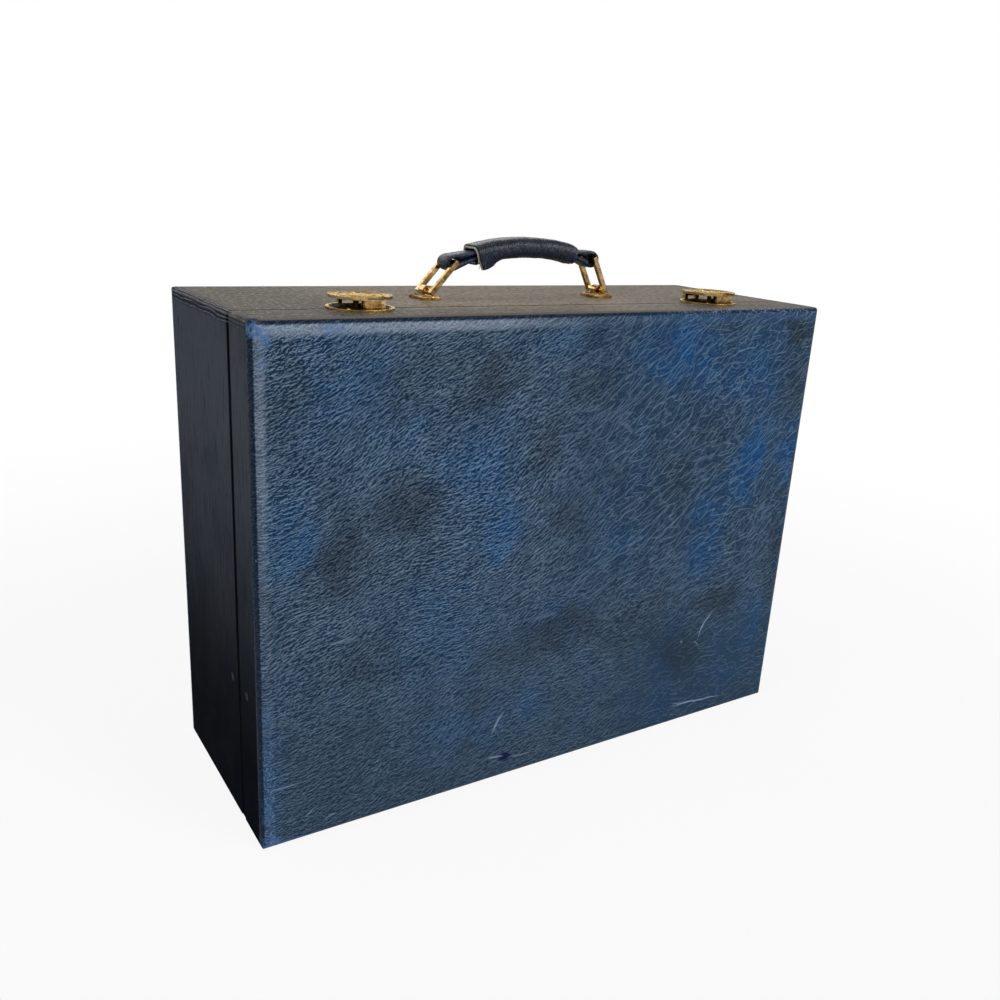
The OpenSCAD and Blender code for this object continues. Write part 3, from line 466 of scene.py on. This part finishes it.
# Thin covering of the frame's narrow sides.
TOP_SKIN = palette(
    # dull, plain and worn are partly painted sheen.
    dull=(116, 106, 94), plain=(152, 139, 124), worn=(180, 167, 148), hollow=(64, 60, 57),
    front=(66, 72, 86), left=(80, 81, 78), right=(94, 86, 78), dust=(180, 169, 152),
    between_dust=(50, 47, 46),
)
SIDE_SKIN = palette(
    # low and high: painted shade at the bottom and painted light at the top.
    low=(7, 12, 21), high=(82, 87, 96), light_streak=(84, 92, 102), dark_streak=(15, 19, 27),
    cloud=(26, 36, 54),
)
SKIN_EDGE = palette(
    # rub: rub wear, and partly a painted highlight along the bottom rounding.
    seam=(5, 6, 9), rub=(150, 158, 172), turned=(30, 34, 46), ridge=(160, 166, 176),
)


def pebbles(g, p):
    """Height of a fine pebbled grain."""
    return g.least(g.cells(g.place(g.shake(p, 0.4, 0.8), size=(1.5, 1.5, 1.5))), 0.35)


def skin(g, p, where, base, rough, height, seam, specular):
    """The thin covering with its seam, its rubbed corners, partly a painted highlight along the
    bottom rounding, and its turned-over side edges.
    """
    x, y, z = where
    off = g.absolute(g.add(y, -SEAM_Y))
    base = g.mix(g.span(off, *seam), base, SKIN_EDGE["seam"])
    side = g.absolute(x)
    # Lighter along the bottom rounding, rub wear and partly a painted highlight, and rub wear at
    # the back's upright corners.
    rub = g.most(
        g.times(g.span(z, 2.6, 0.8), 0.7),
        g.times(g.span(side, 217.4, 218.8), g.span(y, 76.0, 79.0)),
    )
    patchy = g.span(g.noise(g.place(p, size=(3.0, 6.0, 6.0)), 1.0, 3.0, 0.7), 0.36, 0.6)
    base = g.mix(g.times(rub, g.times(patchy, 0.6)), base, SKIN_EDGE["rub"])

    # Ridges where the covering is turned over the upper side edges, darker below and beside them.
    over = g.add(g.minus(HALF_W, side), g.minus(z, TOP))
    wave = g.minus(g.noise(g.place(p, size=(9.0, 34.0, 9.0)), 1.0, 2.0), 0.5)
    bent = g.add(over, g.times(wave, 4.0))
    edge = g.times(g.span(over, -9.0, -5.0), g.span(over, 9.0, 3.0))
    edge = g.times(edge, g.span(y, -43.0, -36.0, 0.35, 1.0))
    base = g.mix(g.times(edge, 0.7), base, SKIN_EDGE["turned"])
    ridge = g.math("SINE", g.times(bent, 2.6))
    light = g.times(g.span(ridge, 0.55, 0.95), edge, g.add(0.25, g.times(patchy, 0.5)))
    base = g.mix(light, base, SKIN_EDGE["ridge"])
    height = g.add(height, g.times(ridge, edge, 1.2))
    return leather(base, rough, specular, g.bump(height, 0.55, 0.5 * MM))


def top_leather(g, p):
    """The top: brown-grey, rubbed and dusty; its light tone and light streaks are partly painted
    sheen.
    """
    x, y, z = g.split(p)
    slow = g.noise(g.place(p, size=(60.0, 26.0, 60.0)), 1.0, 4.0, 0.65)
    worn = g.place(g.shake(p, 0.1, 4.0), turn=(0, 0, -18), size=(13.0, 3.0, 8.0))
    worn = g.noise(worn, 1.0, 4.0, 0.65)
    # The light tone and the light worn streaks are partly painted sheen.
    base = g.mix(g.span(slow, 0.3, 0.7), TOP_SKIN["dull"], TOP_SKIN["plain"])
    base = g.mix(g.span(worn, 0.48, 0.64, 0.0, 0.75), base, TOP_SKIN["worn"])
    base = g.mix(g.span(worn, 0.44, 0.28, 0.0, 0.65), base, TOP_SKIN["hollow"])
    bluish = g.times(g.span(y, -44.0, -60.0), g.span(g.absolute(x), 30.0, 140.0, 0.2, 0.6))
    base = g.mix(bluish, base, TOP_SKIN["front"])
    base = g.mix(g.span(x, -60.0, -190.0, 0.0, 0.8), base, TOP_SKIN["left"])
    base = g.mix(g.span(x, 30.0, 120.0, 0.0, 0.45), base, TOP_SKIN["right"])
    dust = g.noise(g.place(p, turn=(0, 0, -6), size=(2.6, 5.0, 2.6)), 1.0, 3.0, 0.65)
    base = g.mix(g.span(dust, 0.5, 0.68, 0.0, 0.55), base, TOP_SKIN["dust"])
    base = g.mix(g.span(dust, 0.5, 0.32, 0.0, 0.65), base, TOP_SKIN["between_dust"])
    height = g.add(g.times(pebbles(g, p), 1.6), g.times(worn, 1.2))
    rough = g.span(worn, 0.3, 0.7, 0.36, 0.52)
    return skin(g, p, (x, y, z), base, rough, height, (1.9, 0.5), 0.06)


def side_leather(g, p):
    """The sides and the bottom: black-blue and streaky, with painted light that makes them lighter
    towards the top.
    """
    x, y, z = g.split(p)
    streak = g.noise(g.place(g.shake(p, 0.05, 5.0), size=(2.2, 2.2, 26.0)), 1.0, 4.0, 0.62)
    cloud = g.noise(p, 0.02, 4.0, 0.6)
    # Painted light and shade: lighter towards the top, darker towards the bottom.
    painted_light_towards_top = g.span(z, 50.0, 300.0)
    base = g.mix(painted_light_towards_top, SIDE_SKIN["low"], SIDE_SKIN["high"])
    # The light streaks show only where the painted light is.
    light_streak = g.times(g.span(streak, 0.42, 0.72, 0.0, 0.45), painted_light_towards_top)
    base = g.mix(light_streak, base, SIDE_SKIN["light_streak"])
    base = g.mix(g.span(streak, 0.46, 0.28, 0.0, 0.5), base, SIDE_SKIN["dark_streak"])
    base = g.mix(g.span(cloud, 0.5, 0.75, 0.0, 0.3), base, SIDE_SKIN["cloud"])
    height = g.add(g.times(pebbles(g, p), 0.8), g.times(streak, 0.5))
    rough = g.span(cloud, 0.3, 0.7, 0.5, 0.64)
    return skin(g, p, (x, y, z), base, rough, height, (3.0, 2.0), 0.003)


def grip_leather(g, p):
    """Dark wrinkled leather with a broken shine."""
    wavy = g.shake(p, 0.25, 1.2, 2.0)
    cell = g.cells(g.place(wavy, turn=(0, 10, 0), size=(1.2, 2.2, 2.6)))
    wrinkle = g.noise(g.place(wavy, turn=(0, 8, 0), size=(1.1, 5.0, 4.0)), 1.0, 3.0, 0.6)
    cloud = g.noise(p, 0.06, 4.0, 0.6)
    base = g.mix(g.span(cloud, 0.32, 0.68), srgb(12, 24, 42), srgb(26, 44, 70))
    line = g.times(g.span(cell, 0.14, 0.02), g.span(wrinkle, 0.45, 0.62, 0.0, 0.28))
    base = g.mix(line, base, srgb(120, 138, 162))
    rub = g.noise(g.place(p, size=(4.0, 3.0, 3.0)), 1.0, 4.0, 0.7)
    base = g.mix(g.span(rub, 0.56, 0.74, 0.0, 0.3), base, srgb(70, 90, 120))
    height = g.add(g.times(g.least(cell, 0.3), 0.8), g.times(wrinkle, 1.8))
    rough = g.span(wrinkle, 0.35, 0.65, 0.32, 0.18)
    return leather(base, rough, 0.45, g.bump(height, 0.7, 0.6 * MM))


def lock_dirt_and_shade(g, p):
    """Dirt in the two grooves on top of each lock's hasp, and painted shade below the hasp."""
    x, y, z = g.split(p)
    along = g.minus(g.absolute(x), LOCK_X)
    across = g.add(y, -SEAM_Y)
    reach = g.math("SQRT", g.add(g.times(along, along), g.times(across, across)))
    # Painted shade under the hasp.
    below = g.times(g.span(z, 336.85, 336.7), g.span(z, 329.0, 330.5))
    below = g.times(g.span(reach, 19.0, 18.2), below)
    groove = g.most(
        g.span(g.absolute(g.minus(reach, 17.9)), 0.6, 0.2),
        g.span(g.absolute(g.minus(reach, 12.9)), 0.7, 0.2),
    )
    groove = g.times(groove, g.span(z, 337.9, 338.1))
    return g.most(below, g.times(groove, 0.75))


def brass(g, p):
    """Old brass of the locks: gold with brown spots, dirt in the grooves, and painted shade below
    the hasp.
    """
    cloud = g.noise(p, 0.14, 4.0, 0.6)
    spots = g.noise(p, 0.5, 4.0, 0.7)
    brushed = g.noise(g.place(p, size=(4.0, 0.35, 0.35)), 1.0, 3.0, 0.6)
    base = g.mix(g.span(cloud, 0.35, 0.68), srgb(204, 166, 88), srgb(236, 204, 128))
    base = g.mix(g.span(spots, 0.5, 0.7, 0.0, 0.75), base, srgb(104, 76, 36))
    base = g.mix(g.span(spots, 0.42, 0.24, 0.0, 0.5), base, srgb(250, 228, 170))
    # Dirt in the grooves and painted shade under the hasp.
    dirt_and_shade = lock_dirt_and_shade(g, p)
    base = g.mix(g.times(dirt_and_shade, 0.92), base, srgb(30, 22, 12))
    rough = g.add(g.span(spots, 0.35, 0.75, 0.16, 0.42), g.times(brushed, 0.08))
    rough = g.add(rough, g.times(dirt_and_shade, 0.4))
    height = g.add(g.times(spots, 0.5), g.times(brushed, 0.35))
    return metal(base, rough, g.bump(height, 0.3, 0.3 * MM, g.bevel()))


def clean_brass(g, p):
    """Brass of the handle's plates and rings, the hinge, the stays and the screws."""
    cloud = g.noise(p, 0.14, 4.0, 0.6)
    spots = g.noise(p, 0.3, 3.0, 0.6)
    base = g.mix(g.span(cloud, 0.35, 0.68), srgb(178, 138, 80), srgb(244, 214, 154))
    base = g.mix(g.span(spots, 0.5, 0.68, 0.0, 0.75), base, srgb(104, 72, 42))
    rough = g.span(spots, 0.35, 0.75, 0.1, 0.26)
    return metal(base, rough, g.bump(spots, 0.3, 0.3 * MM, g.bevel()))


def dark_metal(g, p):
    """Blackened rivet heads."""
    spots = g.noise(p, 0.8, 3.0, 0.6)
    base = g.mix(g.span(spots, 0.45, 0.7), srgb(9, 11, 16), srgb(38, 44, 56))
    rough = g.span(spots, 0.3, 0.7, 0.4, 0.6)
    return {**metal(base, rough), "Metallic": 0.1, "Specular IOR Level": 0.05}


def steel(g, p):
    cloud = g.noise(p, 0.3, 4.0, 0.6)
    base = g.mix(g.span(cloud, 0.35, 0.7), srgb(176, 174, 170), srgb(120, 110, 100))
    return metal(base, g.span(cloud, 0.3, 0.7, 0.25, 0.5))


def wood(g, p):
    rings = g.noise(g.place(g.shake(p, 0.02, 14.0), size=(70.0, 3.2, 3.2)), 1.0, 5.0, 0.6)
    pores = g.noise(g.place(p, size=(14.0, 0.5, 0.5)), 1.0, 3.0, 0.6)
    base = g.mix(g.span(rings, 0.3, 0.7), srgb(176, 138, 94), srgb(142, 104, 66))
    base = g.mix(g.span(pores, 0.58, 0.72, 0.0, 0.5), base, srgb(96, 66, 40))
    height = g.add(rings, g.times(pores, 0.6))
    return matt(base, g.span(rings, 0.3, 0.7, 0.55, 0.72), g.bump(height, 0.4, 0.3 * MM))


def lining(g, p):
    """Ribbed cloth."""
    x, y, z = g.split(p)
    warp = g.math("SINE", g.times(g.add(x, y), 6.3))
    weft = g.math("SINE", g.times(g.add(z, g.times(y, 0.7)), 4.2))
    weave = g.times(warp, weft)
    cloud = g.noise(p, 0.03, 4.0, 0.6)
    base = g.mix(g.span(cloud, 0.3, 0.7), srgb(92, 88, 84), srgb(116, 110, 104))
    base = g.mix(g.span(weave, -1.0, 1.0, 0.0, 0.4), base, srgb(66, 62, 62))
    return matt(base, g.span(cloud, 0.3, 0.7, 0.8, 0.92), g.bump(weave, 0.5, 0.3 * MM))


def raw_edge(g, p):
    """Cream cut edge of the sleeve's sheet, and its threads."""
    fibre = g.noise(g.place(p, size=(0.4, 0.4, 1.4)), 1.0, 4.0, 0.7)
    base = g.mix(g.span(fibre, 0.3, 0.7), srgb(206, 192, 164), srgb(240, 234, 218))
    return matt(base, g.span(fibre, 0.3, 0.7, 0.75, 0.92), g.bump(fibre, 0.6, 0.3 * MM))


BUILDERS = {
    "blue_leather": blue_leather,
    "top_leather": top_leather,
    "side_leather": side_leather,
    "grip_leather": grip_leather,
    "brass": brass,
    "clean_brass": clean_brass,
    "dark_metal": dark_metal,
    "steel": steel,
    "board": wood,
    "lining": lining,
    "raw_edge": raw_edge,
}
MATERIALS = {name: material(name, build) for name, build in BUILDERS.items()}

# Words in the names of CAD nodes and the material that goes with them. The first match counts.
FINISHES = (
    (("lid_leather_front", "base_leather_back"), "blue_leather"),
    (("leather_top",), "top_leather"),
    (("leather",), "side_leather"),
    (("board",), "board"),
    (("lining",), "lining"),
    (("grip_strap", "grip_sleeve"), "grip_leather"),
    (("grip_edge",), "raw_edge"),
    (("pin",), "steel"),
    (("stay_rivets",), "dark_metal"),
    (("hasp", "lock_plate"), "brass"),
)


def finish_of(name):
    for words, finish in FINISHES:
        if any(word in name for word in words):
            return finish
    return "clean_brass"


for name, obj in nodes.items():
    obj.data.materials.clear()
    obj.data.materials.append(MATERIALS[finish_of(name)])


def add_object(name, data):
    obj = bpy.data.objects.new(name, data)
    bpy.context.scene.collection.objects.link(obj)
    return obj


# Soft goods of the handle. Sizes are in mm.
def add_mesh(name, points, faces, finish):
    mesh = bpy.data.meshes.new(name)
    mesh.from_pydata([tuple(Vector(p) * MM) for p in points], [], faces)
    mesh.update()
    for face in mesh.polygons:
        face.use_smooth = True
    mesh.materials.append(MATERIALS[finish])
    return add_object(name, mesh)


def on_arc(radius, degrees):
    """The point in x and z on the grip's arc, with degrees counted from the top to the right."""
    a = math.radians(degrees)
    return np.array([ARC_X + radius * math.sin(a), ARC_Z + radius * math.cos(a)])


def on_circle(centre, radius, degrees):
    """The point on a circle, with degrees counted from the first axis to the second."""
    a = math.radians(degrees)
    return np.array([centre[0] + radius * math.cos(a), centre[1] + radius * math.sin(a)])


def grid_faces(rows, cols, closed):
    """Faces between rows of points, as an open sheet or closed both ways."""
    faces = []
    for i in range(rows if closed else rows - 1):
        for j in range(cols if closed else cols - 1):
            a, b = i, (i + 1) % rows
            c, d = j, (j + 1) % cols
            faces.append((a * cols + c, a * cols + d, b * cols + d, b * cols + c))
    return faces


def strap_path(count=300, smoothings=3):
    """The strap's middle line in x and z, evenly spaced: over the top, round the right bar, back
    below, round the left bar."""
    loop_left = BAR_R + PLAY_LEFT + STRAP_HALF_T
    loop_right = BAR_R + PLAY_RIGHT + STRAP_HALF_T
    points = [on_arc(STRAP_UP, a) for a in np.linspace(STRAP_FROM, STRAP_TO, 60)]
    points += [on_circle(LOOP_RIGHT, loop_right, a) for a in np.linspace(84, -112, 25)]
    points += [on_arc(STRAP_LOW, a) for a in np.linspace(STRAP_TO, STRAP_FROM, 60)]
    points += [on_circle(LOOP_LEFT, loop_left, a) for a in np.linspace(-66, -258, 25)]
    closed = np.vstack([points, points[:1]])
    steps = np.linalg.norm(np.diff(closed, axis=0), axis=1)
    at = np.concatenate([[0], np.cumsum(steps)])
    spaced = np.linspace(0, at[-1], count + 1)[:-1]
    path = np.stack([np.interp(spaced, at, closed[:, k]) for k in (0, 1)], axis=1)
    for _ in range(smoothings):
        path = 0.5 * path + 0.25 * (np.roll(path, 1, axis=0) + np.roll(path, -1, axis=0))
    return path


def strap(cols=28):
    """The strap, whose inner side is filled up to the line between its two layers."""
    path = strap_path()
    tangent = np.roll(path, -1, axis=0) - np.roll(path, 1, axis=0)
    tangent /= np.linalg.norm(tangent, axis=1)[:, None]
    outward = np.stack([-tangent[:, 1], tangent[:, 0]], axis=1)
    middle = [on_arc(SLEEVE_MID, a) for a in np.linspace(STRAP_FROM, STRAP_TO, 40)]
    middle = [np.array(LOOP_LEFT), *middle, np.array(LOOP_RIGHT)]
    middle = [np.linspace(p, q, 12) for p, q in zip(middle[:-1], middle[1:])]
    middle = np.concatenate(middle)
    points = []
    for (px, pz), (ox, oz) in zip(path, outward):
        to_middle = np.linalg.norm(middle - (px, pz), axis=1).min() - STRAP_GAP
        # The filling starts 3.6 mm away from the pivots, over 1.2 mm.
        clear = min(px - LOOP_LEFT[0], LOOP_RIGHT[0] - px) - 3.6
        filling = max(0.0, to_middle - STRAP_HALF_T) * min(1.0, max(0.0, clear / 1.2))
        inner = STRAP_HALF_T + filling
        for j in range(cols):
            t = 2 * math.pi * j / cols
            c, s = math.cos(t), math.sin(t)
            u = STRAP_HALF_W * math.copysign(abs(c) ** 0.5, c)
            v = (STRAP_HALF_T if s > 0 else inner) * math.copysign(abs(s) ** 0.75, s)
            if s > 0:
                v += 0.16 * noise.noise(Vector((px, u * 1.3, pz)) * 0.33)
            u += 0.35 * noise.noise(Vector((px, 40.0, pz)) * 0.12)
            points.append((px + ox * v, u, pz + oz * v))
    faces = grid_faces(len(path), cols, True)
    return add_mesh("handle_strap", points, faces, "grip_leather")


def sleeve_section(turn):
    """Points (y, height) of the sleeve's outer line from its loose front edge, over the top, to
    the seam below. The loose part turns under the sleeve by a share of a right angle."""
    half_w, half_h, r = SLEEVE_W / 2, SLEEVE_H / 2, SLEEVE_R
    line = []
    y, v, heading = -half_w, -half_h + r, 0.0
    arc = math.pi / 2 * r
    bend = math.pi / 2 * turn / arc
    for steps, length, curve in ((BEND_STEPS, arc, bend), (LOOSE_STEPS, LOOSE, 0.0)):
        for _ in range(steps):
            heading += curve * length / steps
            y += math.sin(heading) * length / steps
            v -= math.cos(heading) * length / steps
            line.append((y, v))
    line.reverse()

    def corner(y, v, start, end):
        return [tuple(on_circle((y, v), r, a)) for a in np.linspace(start, end, CORNER_POINTS)]

    line += [(-half_w, v) for v in np.linspace(-half_h + r, half_h - r, 4)]
    line += corner(-half_w + r, half_h - r, 180, 90)[1:]
    line += [(y, half_h) for y in np.linspace(-half_w + r, half_w - r, 9)[1:-1]]
    line += corner(half_w - r, half_h - r, 90, 0)
    line += [(half_w, v) for v in np.linspace(half_h - r, -half_h + r, 4)[1:-1]]
    line += corner(half_w - r, -half_h + r, 0, -90)
    seam = -half_w + r + LOOSE + 0.1
    line += [(y, -half_h) for y in np.linspace(half_w - r, seam, 4)[1:]]
    return np.array(line)


def sleeve_point(angle, y, v):
    x, z = on_arc(SLEEVE_MID + v, angle)
    return (x, y, z)


def slant(j, along=0.0):
    """How many degrees the sleeve's left end leans at point j of its section."""
    return 0.5 * max(0.0, 1 - j / (BEND_STEPS + LOOSE_STEPS)) * max(0.0, 1 - along / 3.0)


def sleeve():
    """The leather sheet round the strap. Its lower front edge hangs loose at the left end."""
    points = []
    angles = np.linspace(SLEEVE_FROM, SLEEVE_TO, 96)
    for angle in angles:
        along = angle - SLEEVE_FROM
        line = sleeve_section(max(np.interp(along, TURN_AT, TURN), 0.01))
        middle = line.mean(axis=0)
        for j, point in enumerate(line):
            y, v = point
            out = point - middle
            out /= max(1e-6, np.linalg.norm(out))
            lump = 0.32 * noise.noise(Vector((angle * 0.42, y * 0.16, v * 0.16)))
            lump += 0.13 * noise.noise(Vector((angle * 2.1, y * 0.5, v * 0.5)))
            narrow_end = 0.7 * max(0.0, 1 - (SLEEVE_TO - angle) / 2.5)
            y, v = point + out * (lump - narrow_end)
            v -= 0.05 * max(0.0, angle - 7.5) ** 2
            points.append(sleeve_point(angle + slant(j, along), y, v))
    faces = grid_faces(len(angles), len(line), False)
    obj = add_mesh("handle_sleeve", points, faces, "grip_leather")
    thick = obj.modifiers.new("thickness", "SOLIDIFY")
    thick.thickness = SLEEVE_THICK * MM
    thick.offset = -1.0  # inwards
    thick.use_even_offset = True
    return obj


def tube(name, path, radius, finish):
    """A round thread along a list of points."""
    curve = bpy.data.curves.new(name, "CURVE")
    curve.dimensions = "3D"
    curve.bevel_depth = radius * MM
    curve.bevel_resolution = 2
    curve.use_fill_caps = True
    spline = curve.splines.new("POLY")
    spline.points.add(len(path) - 1)
    for point, place in zip(spline.points, path):
        point.co = (*(Vector(place) * MM), 1.0)
        point.radius = 1.0 + 0.35 * noise.noise(Vector(place) * 0.9)
    curve.materials.append(MATERIALS[finish])
    return add_object(name, curve)


# Loose threads at the sleeve's left end: start (y, height) on the section, and direction.
FRAYS = (
    ((3.0, 4.9), (-0.9, 0.9, 1.0)),
    ((5.0, 4.6), (-1.2, 0.3, 1.6)),
    ((-5.5, 5.0), (-0.8, -0.5, 1.1)),
    ((-9.2, -2.0), (-0.5, -0.6, -1.6)),
    ((-9.3, -6.5), (-0.7, -0.3, -1.2)),
)
EDGE_R, EDGE_IN, FRAY_R = 0.7, 0.6, 0.22


def edge_threads():
    """The cream raw edge round the sleeve's left end, and what has frayed from it."""
    ring = []
    for j, point in enumerate(sleeve_section(0.02)):
        y, v = point - point / np.linalg.norm(point) * EDGE_IN
        wobble = 0.12 * noise.noise(Vector((j * 0.7, 3.0, 1.0)))
        ring.append(sleeve_point(SLEEVE_FROM - 0.1 + slant(j) + wobble, y, v))
    pieces = [tube("edge_ring", ring, EDGE_R, "raw_edge")]
    for i, (start, (dx, dy, dz)) in enumerate(FRAYS):
        x, y, z = sleeve_point(SLEEVE_FROM - 0.15, *start)
        ts = np.linspace(0, 1.3, 6)
        path = [(x + dx * t, y + dy * t, z + dz * t - 0.5 * t * t) for t in ts]
        pieces.append(tube(f"edge_fray_{i}", path, FRAY_R, "raw_edge"))
    return pieces


handle_strap = strap()
handle_sleeve = sleeve()
threads = edge_threads()
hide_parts("grip_strap")
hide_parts("grip_sleeve")
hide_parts("grip_edge")
for piece in (handle_strap, handle_sleeve):
    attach(piece, "grip")
for piece in threads:
    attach(piece, "grip")


# Studio in metres: pale floor, white surroundings, soft lamps.
def grey(*values):
    """A colour from linear values, of which one stands for all three."""
    return (*(values if len(values) == 3 else values * 3), 1.0)


def floor(reach=9):
    """The floor. Shadow rays pass it, and camera rays see nine tenths or more of the white world
    through it, so that the open lid, which dips below it, is lit and shows."""
    mesh = bpy.data.meshes.new("floor")
    corners = [(-reach, -reach, 0), (reach, -reach, 0), (reach, reach, 0), (-reach, reach, 0)]
    mesh.from_pydata(corners, [], [(0, 1, 2, 3)])
    obj = add_object("floor", mesh)
    made = bpy.data.materials.new("floor")
    made.use_nodes = True
    g = Graph(made.node_tree)
    diffuse = g.node("ShaderNodeBsdfDiffuse", {"Color": grey(0.86), "Roughness": 1.0})
    white = g.node("ShaderNodeEmission", {"Color": grey(1.0), "Strength": 1.0})
    from_middle = g.vec("LENGTH", g.node("ShaderNodeTexCoord", out="Object"))
    path = g.make("ShaderNodeLightPath").outputs
    mirrored = g.times(path["Is Glossy Ray"], 0.35)
    pale = g.node("ShaderNodeMixShader", {0: mirrored, 1: diffuse, 2: white})
    share = g.times(path["Is Camera Ray"], g.span(from_middle, 0.35, 1.1, 0.9, 1.0))
    share = g.most(share, path["Is Shadow Ray"])
    clear = g.node("ShaderNodeBsdfTransparent")
    shader = g.node("ShaderNodeMixShader", {0: share, 1: pale, 2: clear})
    g.make("ShaderNodeOutputMaterial", {"Surface": shader})
    mesh.materials.append(made)


def world():
    """White to the camera, a soft light that is dark below the horizon, and in reflections a
    dark room with bright windows."""
    made = bpy.data.worlds.new("studio")
    made.use_nodes = True
    bpy.context.scene.world = made
    g = Graph(made.node_tree)
    where = g.node("ShaderNodeTexCoord", out="Generated")
    x, _, z = g.split(where)
    window = g.times(g.span(z, 0.12, 0.22), g.span(z, 0.62, 0.5))
    window = g.times(window, g.span(g.noise(where, 1.6, 1.0), 0.44, 0.54))
    mirror = g.mix(window, grey(0.14, 0.13, 0.12), grey(1.5, 1.47, 1.4))
    soft = g.mix(g.span(x, -0.9, 0.7), grey(0.25, 0.26, 0.28), grey(0.36, 0.36, 0.35))
    path = g.make("ShaderNodeLightPath").outputs
    reflected = g.most(path["Is Glossy Ray"], path["Is Transmission Ray"])
    soft = g.mix(g.span(z, -0.03, 0.0), grey(0.0), soft)
    colour = g.mix(reflected, soft, mirror)
    colour = g.mix(path["Is Camera Ray"], colour, grey(1.0))
    light = g.node("ShaderNodeBackground", {"Color": colour, "Strength": 1.0})
    g.make("ShaderNodeOutputWorld", {"Surface": light})


def lamp(name, at, aim, size, power, colour):
    light = bpy.data.lights.new(name, "AREA")
    light.shape = "SQUARE"
    light.size = size
    light.energy = power
    light.color = colour
    obj = add_object(name, light)
    obj.location = at
    obj.rotation_euler = (Vector(aim) - Vector(at)).to_track_quat("-Z", "Y").to_euler()


def camera():
    data = bpy.data.cameras.new("camera")
    data.sensor_width = SENSOR
    data.lens = LENS
    data.clip_start = 0.01
    data.clip_end = 60.0
    obj = add_object("camera", data)
    right, down, ahead = (Vector(v) for v in VIEW)
    turn = Matrix((right, -down, -ahead)).transposed()
    obj.matrix_world = Matrix.Translation(Vector(EYE) * MM) @ turn.to_4x4()
    bpy.context.scene.camera = obj


floor()
world()
lamp("key", (1.1, -2.3, 1.9), (0.0, -0.05, 0.18), 1.2, 26.0, (1.0, 0.98, 0.95))
lamp("top", (-0.2, 0.5, 2.5), (0.0, 0.0, 0.2), 1.8, 11.5, (1.0, 0.97, 0.93))
lamp("side", (-2.4, -0.3, 1.5), (0.0, 0.0, 0.2), 1.2, 6.0, (0.93, 0.96, 1.0))
camera()

bpy.context.scene.view_settings.view_transform = "Standard"
